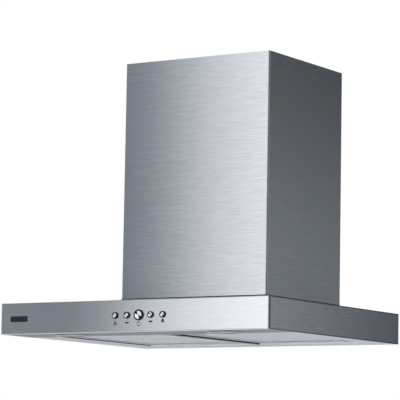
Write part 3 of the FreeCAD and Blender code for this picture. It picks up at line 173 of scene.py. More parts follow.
def zone(tree, spans):
    """One inside a zone, none outside. Spans are (low, high, soft edge) in mm, both ways from X 0."""
    share = 1.0
    for axis, (low, high, soft) in spans.items():
        value = object_axes(tree)[axis]
        if axis == "X":
            value = add(tree, "ShaderNodeMath", {0: value}, operation="ABSOLUTE")
        middle, half = (low + high) / 2, (high - low) / 2
        away = add(tree, "ShaderNodeMath", {0: value, 1: -middle * MM}, operation="ADD")
        away = add(tree, "ShaderNodeMath", {0: away}, operation="ABSOLUTE")
        limits = {"Value": away, "From Min": half * MM, "From Max": (half - soft) * MM}
        inside = add(tree, "ShaderNodeMapRange", limits)
        share = add(tree, "ShaderNodeMath", {0: share, 1: inside}, operation="MULTIPLY")
    return share


def brushed_stainless(name, light, dark, roughness, painted_shade=()):
    """Sheet steel, ground with a belt: faint level streaks, and mirror images drawn up and down.

    The zones given as painted shade are folds, edges and stretches of sheet darkened by multiplying in
    their colours, where less light falls.
    """
    material, tree, shader = new_material(name, Metallic=1.0, Roughness=roughness, Anisotropic=0.9)
    fine = {"Vector": brushed_place(tree, 26 * MM, 0.7 * MM), "Scale": 1.0}
    broad = {"Vector": brushed_place(tree, 30 * MM, 1.3 * MM), "Scale": 1.0, "Detail": 1.0}
    both = {index: add(tree, "ShaderNodeTexNoise", inputs) for index, inputs in enumerate((fine, broad))}
    streaks = add(tree, "ShaderNodeMath", both, operation="ADD")
    share = add(tree, "ShaderNodeMapRange", {"Value": streaks, "From Min": 0.75, "From Max": 1.25})
    colour = layered(tree, linear(dark), (share, light))
    # Painted shade: each zone's colour is multiplied into the steel's colour.
    painted_shade_layers = [(zone(tree, spans), tint) for spans, tint in painted_shade]
    colour = layered(tree, colour, *painted_shade_layers, blend="MULTIPLY")
    feed(tree, shader, {"Base Color": colour, "Tangent": upright_tangent(tree)})
    return material


def strip_stainless(name, light, dark, strip_shade_colour, wall_light_colour, roughness):
    """Brushed sheet, with painted shade darkening its front strip round the lamps, and painted light on its
    upright walls, made near white and nearly non-metal.
    """
    material, tree, shader = new_material(name, Roughness=roughness, Anisotropic=0.6)
    place = brushed_place(tree, 22 * MM, 0.5 * MM)
    inputs = {"Vector": place, "Scale": 1.0, "Detail": 3.0, "Roughness": 0.7}
    streaks = add(tree, "ShaderNodeTexNoise", inputs)
    axes = object_axes(tree)
    # Painted shade: the front strip round the lamps is darkened in colour and in specular tint.
    strip_end, blend = CAD_BOX[0].y + 98 * MM, 2 * MM
    limits = {"Value": axes["Y"], "From Min": strip_end + blend, "From Max": strip_end}
    front = add(tree, "ShaderNodeMapRange", limits)
    # Painted light: the upright walls above the sheet are made near white and nearly non-metal to look
    # brighter.
    wall_foot, wall_start = 0.2 * MM, 0.5 * MM
    limits = {"Value": axes["Z"], "From Min": wall_foot, "From Max": wall_start}
    wall = add(tree, "ShaderNodeMapRange", limits)
    colour = layered(tree, linear(dark), (streaks, light), (front, strip_shade_colour), (wall, wall_light_colour))
    tint = layered(tree, linear("ffffff"), (front, strip_shade_colour))
    metallic = add(tree, "ShaderNodeMapRange", {"Value": wall, "To Min": 1.0, "To Max": 0.1})
    feed(tree, shader, {"Base Color": colour, "Specular Tint": tint, "Metallic": metallic,
                        "Tangent": upright_tangent(tree)})
    return material


def edged_black():
    """Rail painted black as painted shade for the shadowed gap between the filters, with a bare bright
    lower edge, 1.4 mm high.
    """
    material, tree, shader = new_material("painted_shade_black_rail", Roughness=0.5, Specular_IOR_Level=0.2)
    edge, blend = 2.4 * MM, 0.1 * MM
    limits = {"Value": object_axes(tree)["Z"], "From Min": edge, "From Max": edge + blend}
    shade_black_share = add(tree, "ShaderNodeMapRange", limits)
    colour = layered(tree, linear("c9ccd0"), (shade_black_share, "0b0c0e"))
    bare = add(tree, "ShaderNodeMath", {0: 1.0, 1: shade_black_share}, operation="SUBTRACT")
    feed(tree, shader, {"Base Color": colour, "Metallic": bare})
    return material


def galvanised_steel():
    """Hot dipped sheet: dull zinc with crystals about 7 mm across."""
    material, tree, shader = new_material("galvanised_steel", Metallic=1.0, Roughness=0.45)
    crystal = 7 * MM
    place = add(tree, "ShaderNodeTexCoord").outputs["Object"]
    cells = add(tree, "ShaderNodeTexVoronoi", {"Vector": place, "Scale": 1 / crystal})
    shade = add(tree, "ShaderNodeSeparateXYZ", {0: cells.outputs["Color"]})
    colour = layered(tree, linear("999ea1"), (shade, "acb0b2"))
    rough = add(tree, "ShaderNodeMapRange", {"Value": shade, "To Min": 0.42, "To Max": 0.5})
    feed(tree, shader, {"Base Color": colour, "Roughness": rough})
    return material


def speckled(name, light, dark, grain, depth, **inputs):
    """A moulded, cast or plated finish: two near colours and a grain of one size, with its depth."""
    material, tree, shader = new_material(name, **inputs)
    place = add(tree, "ShaderNodeTexCoord").outputs["Object"]
    value = add(tree, "ShaderNodeTexNoise", {"Vector": place, "Scale": 1 / grain, "Detail": 3.0})
    roughness, change = inputs["Roughness"], 0.05
    limits = {"Value": value, "To Min": roughness - change, "To Max": roughness + change}
    rough = add(tree, "ShaderNodeMapRange", limits)
    bump = add(tree, "ShaderNodeBump", {"Height": value, "Distance": depth, "Strength": 0.6})
    colour = layered(tree, linear(dark), (value, light))
    feed(tree, shader, {"Base Color": colour, "Roughness": rough, "Normal": bump})
    return material


def turned_rings(tree, pitch):
    """Of a turned piece, the share of a turn, and a wave that rises and falls once for each ring."""
    place = add(tree, "ShaderNodeUVMap", uv_map="turning")
    parts = add(tree, "ShaderNodeSeparateXYZ", {0: place}).outputs
    rings = add(tree, "ShaderNodeMath", {0: parts["Y"], 1: math.tau / pitch}, operation="MULTIPLY")
    return parts["X"], add(tree, "ShaderNodeMath", {0: rings}, operation="SINE")


def turned_chrome():
    """Lathe turned and chromed caps: rings about 0.25 mm apart, and a painted reflection: a bow tie of
    light and dark in the colour and metalness.
    """
    material, tree, shader = new_material("turned_chrome", Roughness=0.18, Anisotropic=0.5)
    around, wave = turned_rings(tree, 0.25 * MM)
    # Painted reflection: two dark lobes round each cap, darker in colour and less metallic.
    inputs = {0: around, 1: 2 * math.tau, 2: math.radians(90)}
    turn = add(tree, "ShaderNodeMath", inputs, operation="MULTIPLY_ADD")
    lobes = add(tree, "ShaderNodeMath", {0: turn}, operation="COSINE")
    limits = {"Value": lobes, "From Min": 0.42, "From Max": 0.9}
    painted_bow_tie = add(tree, "ShaderNodeMapRange", limits, interpolation_type="SMOOTHSTEP")
    faint = add(tree, "ShaderNodeMapRange", {"Value": wave, "To Min": 0.2, "To Max": 0.8})
    colour = layered(tree, linear("f1f2f3"), (faint, "ffffff"), (painted_bow_tie, "1c1d20"))
    metallic = add(tree, "ShaderNodeMapRange", {"Value": painted_bow_tie, "To Min": 0.25, "To Max": 1.0})
    tangent = add(tree, "ShaderNodeTangent", direction_type="UV_MAP", uv_map="turning")
    feed(tree, shader, {"Base Color": colour, "Metallic": metallic, "Tangent": tangent})
    return material


def ribbed_glass():
    """Pressed glass of a downlight: frosted, with rings about 1.5 mm apart."""
    values = {"Transmission_Weight": 0.85, "Roughness": 0.35, "IOR": 1.5}
    material, tree, shader = new_material("pressed_glass", **values)
    wave = turned_rings(tree, 1.5 * MM)[1]
    faint = add(tree, "ShaderNodeMapRange", {"Value": wave, "To Min": 0.3, "To Max": 0.7})
    bump = add(tree, "ShaderNodeBump", {"Height": wave, "Distance": 0.15 * MM, "Strength": 0.8})
    feed(tree, shader, {"Base Color": layered(tree, linear("e9ecec"), (faint, "ffffff")), "Normal": bump})
    return material


# Painted shade on the sheets, in mm, each with its colour: folds, ends and edges darkened, and the shell's
# sides darker towards the rear.
SHEET_END = (299.5, 301.0, 0.2)
PAINTED_SHADE_COVER = (({"X": (165.3, 168.0, 0.2), "Y": (-287.0, -284.3, 0.2)}, "8a8d92"),)
PAINTED_SHADE_FRONT = (({"X": SHEET_END, "Y": (-501.0, -493.9, 0.2)}, "9a9da1"),
              ({"Y": (-501.0, -499.0, 0.2), "Z": (58.6, 61.0, 0.2)}, "c4c6c9"))
PAINTED_SHADE_SHELL = (({"X": SHEET_END, "Y": (-492.0, 492.0, 492.0)}, "c9cbcf"),
              ({"X": SHEET_END, "Z": (-1.0, 2.2, 0.3)}, "a8abaf"),
              ({"X": SHEET_END, "Z": (57.8, 61.0, 0.3)}, "a8abaf"))

MATERIALS = {
    # Belt ground sheet: bright where it faces light and nearly black where it doesn't.
    "stainless_cover": brushed_stainless("brushed_stainless_cover", "ebecee", "dbdee1", 0.21, PAINTED_SHADE_COVER),
    "stainless_front": brushed_stainless("brushed_stainless_front", "edeef0", "e5e7e9", 0.21, PAINTED_SHADE_FRONT),
    "stainless_shell": brushed_stainless("brushed_stainless_shell", "f3f4f6", "dddfe3", 0.21, PAINTED_SHADE_SHELL),
    # Pan with painted shade on its front strip and painted light on its upright walls.
    "stainless_pan": strip_stainless("brushed_stainless_pan", "bfc2c6", "aeb2b7", "aeb1b5", "f4f5f6", 0.28),
    "galvanised": galvanised_steel(),
    "rail": edged_black(),
    # Zinc plate: a soft, slightly yellow shine.
    "zinc": speckled("zinc_plated_steel", "c2c2b8", "a3a39a", 1.2 * MM, 0.02 * MM,
                     Metallic=1.0, Roughness=0.32),
    # Centreless ground bar: even and bright.
    "ground": speckled("ground_steel", "c6c6c6", "a8a8aa", 0.4 * MM, 0.01 * MM,
                       Metallic=1.0, Roughness=0.22),
    # Mill finished sheet: pale and satin, faintly clouded.
    "aluminium": speckled("mill_aluminium", "e9ebee", "d6d9de", 2.5 * MM, 0.02 * MM,
                          Metallic=1.0, Roughness=0.38),
    # Slit and stretched foil: strands that sparkle, each at its own angle.
    "mesh": speckled("expanded_aluminium", "ffffff", "f2f4f8", 1.5 * MM, 0.03 * MM,
                     Metallic=0.8, Roughness=0.4),
    # Die casting: dull, with a fine grain.
    "cast": speckled("cast_aluminium", "b9bcc0", "9ea2a6", 0.9 * MM, 0.05 * MM,
                     Metallic=1.0, Roughness=0.5),
    "chrome": turned_chrome(),
    # Satin chrome: a smooth grey sheen without grain.
    "bezel_steel": speckled("satin_chrome", "9ca0a6", "8d9197", 30 * MM, 0.001 * MM,
                            Metallic=1.0, Roughness=0.25),
    # ABS from a polished mould: near black, with sharp highlights.
    "gloss_black": speckled("polished_black_abs", "0c0d0f", "08090a", 6 * MM, 0.004 * MM,
                            Roughness=0.2, Specular_IOR_Level=0.3),
    # Dyed anodised aluminium: dark grey with a metal's soft shine.
    "badge_black": speckled("anodised_badge_plate", "3a3c40", "2e3034", 1.6 * MM, 0.004 * MM,
                            Metallic=0.6, Roughness=0.3),
    # ABS from a fine grained mould: dark, with broad highlights.
    "satin_black": speckled("satin_black_abs", "26282b", "1d1e21", 0.5 * MM, 0.03 * MM, Roughness=0.42),
    # ABS from a spark eroded mould: dark, matt and slightly rough.
    "housing": speckled("spark_eroded_abs", "313336", "292b2d", 0.6 * MM, 0.05 * MM, Roughness=0.55),
    # Moulded polypropylene: mid grey and waxy.
    "fan_plastic": speckled("moulded_polypropylene", "6a6d70", "5c5f62", 1.2 * MM, 0.03 * MM,
                            Roughness=0.45),
    # Natural nylon: off white and slightly glossy.
    "nylon": speckled("moulded_nylon", "e3e2dc", "d6d5ce", 1.0 * MM, 0.02 * MM, Roughness=0.4),
    # Stoved enamel: black under a clear, rippled gloss.
    "enamel": speckled("stoved_enamel", "1d1f22", "15171a", 1.4 * MM, 0.03 * MM,
                       Roughness=0.35, Coat_Weight=0.4),
    # Moulded rubber: black and matt.
    "rubber": speckled("moulded_rubber", "1c1c1c", "141414", 0.7 * MM, 0.05 * MM, Roughness=0.75),
    # Solder mask: green lacquer over glass cloth.
    "board": speckled("solder_mask", "1d5a3a", "17492f", 3 * MM, 0.02 * MM,
                      Roughness=0.35, Coat_Weight=0.3),
    # Screen printed ink: flat near black.
    "ink": speckled("screen_print_ink", "1c1e22", "141519", 0.3 * MM, 0.01 * MM, Roughness=0.5),
    # Painted shade band: dark grey, without any shine.
    "shade_band": speckled("painted_shade_band", "2c2e31", "222427", 0.4 * MM, 0.08 * MM, Roughness=0.85),
    "glass": ribbed_glass(),
    # Phosphor gel of a light source that is off: matt yellow.
    "phosphor": speckled("phosphor_gel", "e6c95c", "d8b94a", 0.6 * MM, 0.04 * MM, Roughness=0.5),
    # Vacuum metallised plastic: a bright mirror, a little wavy.
    "reflector": speckled("vacuum_metallised_reflector", "eef0f0", "dfe2e3", 1.6 * MM, 0.02 * MM,
                          Metallic=1.0, Roughness=0.16),
}

NODE_FINISHES = {
    "stainless_cover": ("lower_chimney", "upper_chimney"),
    "stainless_front": ("front_panel",),
    "stainless_shell": ("canopy_shell",),
    "stainless_pan": ("underside_pan",),
    "galvanised": ("corner_brackets", "blower_box", "motor_bracket", "capacitor_clip", "chimney_bracket",
                   "wall_rail"),
    "zinc": ("bracket_inserts",),
    "ground": ("flap_pin", "motor_shaft"),
    "aluminium": ("filter_frame_left", "filter_frame_right"),
    "cast": ("lamp_can_left", "lamp_can_right", "lamp_unit_left", "lamp_unit_right"),
    "housing": ("control_box", "control_cover", "junction_box", "junction_lid"),
    "fan_plastic": ("scroll_left", "scroll_right", "inlet_ring_left", "inlet_ring_right", "impeller",
                    "outlet_flange", "outlet_collar", "flap_front", "flap_rear"),
    "enamel": ("motor_body",),
    "rubber": ("motor_grommets",),
    "board": ("control_board",),
    "nylon": ("capacitor", "terminal_block", "cable_gland"),
    "satin_black": ("key_switches",),
    "rail": ("centre_rail",),
}


def dress_nodes():
    """Gives each node that keeps its own shape its finish."""
    for finish, names in NODE_FINISHES.items():
        for name in names:
            mesh = NODES[name].data
            mesh.materials.clear()
            mesh.materials.append(MATERIALS[finish])


def new_object(name, mesh, finish):
    """An object at the origin with a mesh and a finish."""
    piece = bpy.data.objects.new(name, mesh)
    bpy.context.scene.collection.objects.link(piece)
    mesh.materials.clear()
    mesh.materials.append(MATERIALS[finish])
    return piece


def finished(work, name, finish, angle=None):
    """An object from a bmesh. With an angle in degrees, it is smooth but for edges sharper than that."""
    mesh = bpy.data.meshes.new(name)
    work.to_mesh(mesh)
    work.free()
    if angle is not None:
        mesh.shade_smooth()
        mesh.set_sharp_from_angle(angle=math.radians(angle))
    return new_object(name, mesh, finish)


def lathe(name, finish, centre, outward, profile, turns=64):
    """A turned piece. Its profile is (radius, distance along outward) pairs, from the axis or a bore."""
    outward = Vector(outward)
    first = Vector((1, 0, 0)) if abs(outward.x) < 0.5 else Vector((0, 1, 0))
    second = outward.cross(first)
    work = bmesh.new()
    uv = work.loops.layers.uv.new("turning")
    lengths = [0.0]
    for start, end in zip(profile, profile[1:]):
        lengths.append(lengths[-1] + math.dist(start, end))
    rings = []
    for radius, along in profile:
        ring = []
        for turn in range(turns if radius > 0 else 1):
            angle = math.tau * turn / turns
            across = first * math.cos(angle) + second * math.sin(angle)
            ring.append(work.verts.new(Vector(centre) + across * radius + outward * along))
        rings.append(ring)
    for index, (low, high) in enumerate(zip(rings, rings[1:])):
        for turn in range(turns):
            following = turn + 1
            corners = [(low, turn, index), (low, following, index), (high, following, index + 1),
                       (high, turn, index + 1)]
            used = []
            for ring, step, row in corners:
                vertex = ring[step % len(ring)]
                if vertex not in [item[0] for item in used]:
                    used.append((vertex, (step / turns, lengths[row])))
            if len(used) < 3:
                continue
            face = work.faces.new([item[0] for item in used])
            for loop, (_, place) in zip(face.loops, used):
                loop[uv].uv = place
    bmesh.ops.recalc_face_normals(work, faces=work.faces)
    return finished(work, name, finish, SMOOTH_ANGLE)


def rounded_plate(name, finish, low, high, corner, edge):
    """A plate facing the front with rounded corners in its face and a small bevel round its front edge."""
    work = bmesh.new()
    outline = []
    steps = 6
    corners = ((high.x, high.z, 0), (low.x, high.z, 90), (low.x, low.z, 180), (high.x, low.z, 270))
    for u, v, start in corners:
        middle = Vector((u - math.copysign(corner, u - (low.x + high.x) / 2),
                         v - math.copysign(corner, v - (low.z + high.z) / 2)))
        for step in range(steps + 1):
            angle = math.radians(start + 90 * step / steps)
            outline.append(middle + corner * Vector((math.cos(angle), math.sin(angle))))
    centre = Vector(((low.x + high.x) / 2, (low.z + high.z) / 2))
    rows = [(high.y, 0.0), (low.y + edge, 0.0), (low.y, edge)]
    loops = []
    for y, inset in rows:
        loop = []
        for point in outline:
            moved = point - inset * (point - centre).normalized()
            loop.append(work.verts.new((moved.x, y, moved.y)))
        loops.append(loop)
    count = len(outline)
    for back, front in zip(loops, loops[1:]):
        for index in range(count):
            following = (index + 1) % count
            work.faces.new((back[index], back[following], front[following], front[index]))
    work.faces.new(loops[0])
    work.faces.new(loops[-1])
    bmesh.ops.recalc_face_normals(work, faces=work.faces)
    return finished(work, name, finish, SMOOTH_ANGLE)


def buttons():
    """Turned caps on their stems, and the black guide rings round them."""
    for name in ("lamp_button", "slower_button", "power_button", "faster_button", "boost_button"):
        low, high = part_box(name)
        radius = (high.x - low.x) / 2
        centre = Vector(((low.x + high.x) / 2, low.y, (low.z + high.z) / 2))
        length = high.y - low.y
        cap, stem, foot = 3.8 * MM, 2.4 * MM, 0.8 * MM
        disc = 0.84 * radius
        dish, rim, edge = 0.3 * MM, 0.5 * MM, 0.2 * MM
        profile = [(0.0, -dish)]
        for step in range(1, 9):
            share = step / 8
            profile.append(((disc - rim) * share, -dish * (1 - share**2)))
        profile += [(disc - edge, 0.0), (disc - edge * 0.3, -edge * 0.3), (disc, -edge), (disc, foot - cap),
                    (radius, foot - cap), (radius, -cap), (stem, -cap), (stem, -length), (0.0, -length)]
        piece = lathe(f"{name}_turned", "chrome", centre, (0, -1, 0), profile)
        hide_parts(name)
        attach(piece, name)
        gap, low_end, top = 0.02 * MM, foot - cap + 0.02 * MM, -0.1 * MM
        rounding = 0.3 * MM
        collar = [(disc + gap, low_end), (disc + gap, top), (radius - rounding, top),
                  (radius, top - rounding), (radius, low_end), (disc + gap, low_end)]
        piece = lathe(f"{name}_collar", "gloss_black", centre, (0, -1, 0), collar)
        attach(piece, name)
        guide_ring(name, centre, radius)
    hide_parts("button_bezels")


def guide_ring(name, centre, radius):
    """Black ring with a rounded lip round one button."""
    bore, sleeve, lip = radius + 0.3 * MM, radius + 0.8 * MM, radius + 1.4 * MM
    seat = Vector((centre.x, PANEL_FACE, centre.z))
    proud, depth = RING_PROUD, 3.5 * MM
    profile = [(bore, -depth), (bore, proud - 0.25 * MM), (bore + 0.12 * MM, proud),
               (sleeve + 0.2 * MM, proud), (lip - 0.15 * MM, proud - 0.4 * MM), (lip, proud - 0.9 * MM),
               (lip, 0.0), (sleeve, 0.0), (sleeve, -depth), (bore, -depth)]
    piece = lathe(f"{name}_ring", "gloss_black", seat, (0, -1, 0), profile)
    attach(piece, "root")


def badge():
    """Bare glossy plate at the left end of the front."""
    low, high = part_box("badge_plate")
    piece = rounded_plate("badge_face", "badge_black", low, high, 0.8 * MM, 0.25 * MM)
    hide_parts("badge_plate")
    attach(piece, "root")


def print_mesh(name, outlines, centre):
    """Printed figures, thin as ink, on the front panel. Outlines are in millimetres about the centre."""
    ink = 0.04 * MM
    work = bmesh.new()
    for outline in outlines:
        rows = []
        for y in (PANEL_FACE, PANEL_FACE - ink):
            places = [(centre[0] + u * MM, y, centre[1] + v * MM) for u, v in outline]
            rows.append([work.verts.new(place) for place in places])
        work.faces.new(rows[0])
        work.faces.new(rows[1])
        for index in range(len(outline)):
            following = (index + 1) % len(outline)
            work.faces.new((rows[0][index], rows[0][following], rows[1][following], rows[1][index]))
    bmesh.ops.recalc_face_normals(work, faces=work.faces)
    piece = finished(work, name, "ink")
    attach(piece, "root")


def bar(x, y, half_width, half_height, turn=0.0):
    """The corners of a turned rectangle."""
    cos, sin = math.cos(turn), math.sin(turn)
    corners = [(-half_width, -half_height), (half_width, -half_height), (half_width, half_height),
               (-half_width, half_height)]
    return [(x + u * cos - v * sin, y + u * sin + v * cos) for u, v in corners]


def ring_bars(radius, width, count, start=0.0, end=math.tau):
    """A ring, or part of one, drawn as short bars end to end."""
    step = (end - start) / count
    half = radius * math.tan(step / 2) * 1.02
    turns = [start + step * (index + 0.5) for index in range(count)]
    return [bar(radius * math.cos(turn), radius * math.sin(turn), width / 2, half, turn) for turn in turns]


def prints():
    """Plain symbols under the buttons: a lamp, less, power, more and a fast sign."""
    places = {name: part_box(f"{name}_button") for name in ("lamp", "slower", "power", "faster", "boost")}
    middle = {name: (low.x + high.x) / 2 for name, (low, high) in places.items()}
    base = (places["power"][0].z + places["power"][1].z) / 2
    row = base - 14.5 * MM
    rays = [bar(3.9 * math.cos(turn), 3.9 * math.sin(turn), 0.7, 0.55, turn)
            for turn in [math.tau * index / 8 for index in range(8)]]
    print_mesh("print_lamp", [*ring_bars(1.3, 2.6, 16), *rays], (middle["lamp"], row))
    print_mesh("print_less", [bar(0, 0, 4.0, 1.3)], (middle["slower"], row + 0.6 * MM))
    power = [*ring_bars(3.7, 1.1, 28, math.radians(112), math.radians(428)), bar(0, 3.5, 0.6, 1.5)]
    print_mesh("print_power", power, (middle["power"], row - 1.8 * MM))
    more = [bar(0, 0, 4.0, 1.2), bar(0, 1.6, 1.0, 0.5), bar(0, -1.6, 1.0, 0.5)]
    print_mesh("print_more", more, (middle["faster"], row + 1.8 * MM))
    blade = [(-3.9, -2.0), (3.9, -2.0), (2.3, 0.8), (1.2, 4.2), (-1.2, 4.2), (-2.3, 0.8)]
    print_mesh("print_fast", [blade, bar(0, -3.0, 2.2, 0.6)], (middle["boost"], row + 2.9 * MM))


def lamps():
    """Downlights: polished bezel, pressed glass and the reflector with its light source behind."""
    for side in SIDES:
        low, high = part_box(f"lamp_bezel_{side}")
        radius = (high.x - low.x) / 2
        centre = Vector(((low.x + high.x) / 2, (low.y + high.y) / 2, 0.0))
        drop, height = -low.z, high.z
        barrel, wall = 27 * MM, 1.2 * MM
        inside = barrel - wall
        profile = [(inside, -height), (inside, drop - 0.5 * MM), (inside + 0.5 * MM, drop)]
        for step in range(9):
            angle = math.radians(90 * step / 8)
            profile.append((radius - drop + drop * math.sin(angle), drop * math.cos(angle)))
        profile += [(barrel, 0.0), (barrel, -height), (inside, -height)]
        piece = lathe(f"lamp_bezel_{side}_ring", "bezel_steel", centre, (0, 0, -1), profile, turns=96)
        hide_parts(f"lamp_bezel_{side}")
        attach(piece, "root")
        low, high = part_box(f"lamp_glass_{side}")
        radius, face, back = (high.x - low.x) / 2, -low.z, -high.z
        profile = [(0.0, back), (radius - 0.3 * MM, back), (radius, back + 0.3 * MM),
                   (radius, face - 0.6 * MM)]
        for step in range(8, -1, -1):
            share = step / 8
            profile.append(((radius - 0.4 * MM) * share, face - 0.45 * MM * share**2))
        piece = lathe(f"lamp_glass_{side}_disc", "glass", centre, (0, 0, -1), profile, turns=96)
        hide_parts(f"lamp_glass_{side}")
        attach(piece, "root")
        reflector(side, centre, back)
        bore, outside, front = radius + 0.1 * MM, inside - 0.05 * MM, face - 0.9 * MM
        gasket = [(bore, back), (bore, front), (outside, front), (outside, back), (bore, back)]
        piece = lathe(f"lamp_gasket_{side}", "rubber", centre, (0, 0, -1), gasket, turns=96)
        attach(piece, "root")


def reflector(side, centre, glass_back):
    """Bowl behind the glass and the yellow light source at its bottom."""
    mouth, throat, depth, gap = 24.5 * MM, 9 * MM, 12 * MM, 0.4 * MM
    bowl = []
    for step in range(9):
        share = step / 8
        bowl.append((throat + (mouth - throat) * share**0.6, glass_back - depth * (1 - share) - gap))
    outer = [(radius + 0.5 * MM, along) for radius, along in reversed(bowl)]
    profile = [*bowl, *outer, bowl[0]]
    piece = lathe(f"lamp_reflector_{side}", "reflector", centre, (0, 0, -1), profile, turns=72)
    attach(piece, "root")
    top = glass_back - depth - gap
    source = [(0.0, top - 1 * MM), (throat, top - 1 * MM), (throat, top), (6 * MM, top + 0.2 * MM),
              (0.0, top + 0.8 * MM)]
    piece = lathe(f"lamp_source_{side}", "phosphor", centre, (0, 0, -1), source, turns=48)
    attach(piece, "root")


def tree_with_sizes(name, sizes):
    """A Geometry Nodes tree with named size inputs, the sockets that give them, and its output node."""
    tree = bpy.data.node_groups.new(name, "GeometryNodeTree")
    tree.interface.new_socket("Geometry", in_out="INPUT", socket_type="NodeSocketGeometry")
    for size, kind in sizes.items():
        tree.interface.new_socket(size, in_out="INPUT", socket_type=kind)
    tree.interface.new_socket("Geometry", in_out="OUTPUT", socket_type="NodeSocketGeometry")
    return tree, add(tree, "NodeGroupInput").outputs, add(tree, "NodeGroupOutput")


def run_tree(name, mesh, tree, sizes, finish):
    """Runs a tree on a mesh with its sizes and keeps the result as a plain mesh."""
    carrier = bpy.data.objects.new(f"{name}_carrier", mesh)
    bpy.context.scene.collection.objects.link(carrier)
    modifier = carrier.modifiers.new("build", "NODES")
    modifier.node_group = tree
    for item in tree.interface.items_tree:
        if item.in_out == "INPUT" and item.name in sizes:
            modifier[item.identifier] = sizes[item.name]
    graph = bpy.context.evaluated_depsgraph_get()
    result = bpy.data.meshes.new_from_object(carrier.evaluated_get(graph))
    bpy.data.objects.remove(carrier)
    result.name = name
    return new_object(name, result, finish)


def mesh_tree():
    """Expanded metal: crossed strands on a grid, left out over the finger cup."""
    sizes = {"Width": "NodeSocketFloat", "Length": "NodeSocketFloat", "Across": "NodeSocketInt",
             "Along": "NodeSocketInt", "Centre": "NodeSocketVector", "Strand": "NodeSocketFloat",
             "Thickness": "NodeSocketFloat", "Reach": "NodeSocketFloat", "Slope": "NodeSocketFloat",
             "Cup Half": "NodeSocketFloat", "Cup End": "NodeSocketFloat"}
    tree, take, out = tree_with_sizes("expanded_metal", sizes)
    grid = add(tree, "GeometryNodeMeshGrid", {"Size X": take["Width"], "Size Y": take["Length"],
                                              "Vertices X": take["Across"], "Vertices Y": take["Along"]})
    place = add(tree, "GeometryNodeInputPosition")
    parts = add(tree, "ShaderNodeSeparateXYZ", {0: place}).outputs
    side = add(tree, "ShaderNodeMath", {0: parts["X"]}, operation="ABSOLUTE")
    beside = add(tree, "FunctionNodeCompare", {0: side, 1: take["Cup Half"]}, operation="LESS_THAN")
    before = add(tree, "FunctionNodeCompare", {0: parts["Y"], 1: take["Cup End"]}, operation="LESS_THAN")
    cup = add(tree, "FunctionNodeBooleanMath", {0: beside, 1: before}, operation="AND")
    kept = add(tree, "GeometryNodeDeleteGeometry", {"Geometry": grid, "Selection": cup}, domain="POINT")
    lengths = {"X": take["Reach"], "Y": take["Strand"], "Z": take["Thickness"]}
    strand = add(tree, "GeometryNodeMeshCube", {"Size": add(tree, "ShaderNodeCombineXYZ", lengths)})
    back = add(tree, "ShaderNodeMath", {0: take["Slope"], 1: -1.0}, operation="MULTIPLY")
    cross = add(tree, "GeometryNodeJoinGeometry")
    for slope in (take["Slope"], back):
        turn = add(tree, "ShaderNodeCombineXYZ", {"Z": slope})
        turned = add(tree, "GeometryNodeTransform", {"Geometry": strand, "Rotation": turn})
        feed(tree, cross, {0: turned})
    copies = add(tree, "GeometryNodeInstanceOnPoints", {"Points": kept, "Instance": cross})
    whole = add(tree, "GeometryNodeRealizeInstances", {"Geometry": copies})
    moved = add(tree, "GeometryNodeTransform", {"Geometry": whole, "Translation": take["Centre"]})
    named = add(tree, "GeometryNodeSetMaterial", {"Geometry": moved, "Material": MATERIALS["mesh"]})
    feed(tree, out, {0: named})
    return tree


def filters():
    """Two layers of expanded metal in each filter and a ribbed finger catch."""
    tree = mesh_tree()
    margin = 0.5 * MM
    for side in SIDES:
        low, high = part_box(f"filter_mesh_{side}")
        width, length = high.x - low.x - 2 * margin, high.y - low.y - 2 * margin
        centre = (low + high) / 2
        cup_half, cup_end = 25.3 * MM, low.y - centre.y + 48 * MM
        fine, coarse = (40, 90, low.z + margin), (20, 45, high.z - margin)
        for layer, (across, along, height) in enumerate((fine, coarse)):
            pitch_x, pitch_y = width / across, length / along
            sizes = {
                "Width": width - pitch_x, "Length": length - pitch_y, "Across": across, "Along": along,
                "Centre": (centre.x, centre.y, height), "Strand": 0.9 * MM, "Thickness": 0.8 * MM,
                "Reach": math.hypot(pitch_x, pitch_y), "Slope": math.atan2(pitch_y, pitch_x),
                "Cup Half": cup_half, "Cup End": cup_end,
            }
            base = bpy.data.meshes.new(f"filter_layer_{side}_{layer}_base")
            piece = run_tree(f"filter_layer_{side}_{layer}", base, tree, sizes, "mesh")
            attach(piece, f"filter_{side}")
        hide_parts(f"filter_mesh_{side}")
        catch(side)


def box_into(work, low, high, edge=0.0):
    """Adds a box, with its edges bevelled where an edge size is given."""
    made = bmesh.ops.create_cube(work, size=1.0)["verts"]
    size, middle = high - low, (low + high) / 2
    for vertex in made:
        vertex.co = Vector((vertex.co.x * size.x, vertex.co.y * size.y, vertex.co.z * size.z)) + middle
    if edge:
        edges = list({link for vertex in made for link in vertex.link_edges})
        bmesh.ops.bevel(work, geom=edges, offset=edge, segments=2, affect="EDGES", profile=0.6)


def catch(side):
    """Black catch of a filter: a ribbed block with its tongue."""
    low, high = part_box(f"latch_{side}")
    work = bmesh.new()
    front = high.y - 12 * MM
    middle = (low.x + high.x) / 2
    box_into(work, Vector((low.x, front, low.z)), high, 0.7 * MM)
    tongue = 8 * MM
    box_into(work, Vector((middle - tongue, low.y, high.z - 2 * MM)),
             Vector((middle + tongue, front + 1 * MM, high.z - 0.5 * MM)), 0.3 * MM)
    for rib in range(5):
        y = front + (1.6 + 2.2 * rib) * MM
        box_into(work, Vector((low.x + 6 * MM, y - 0.5 * MM, low.z - 0.01 * MM)),
                 Vector((high.x - 6 * MM, y + 0.5 * MM, low.z + 0.9 * MM)), 0.25 * MM)
    piece = finished(work, f"catch_{side}", "satin_black", 40)
    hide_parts(f"latch_{side}")
    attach(piece, f"latch_{side}")


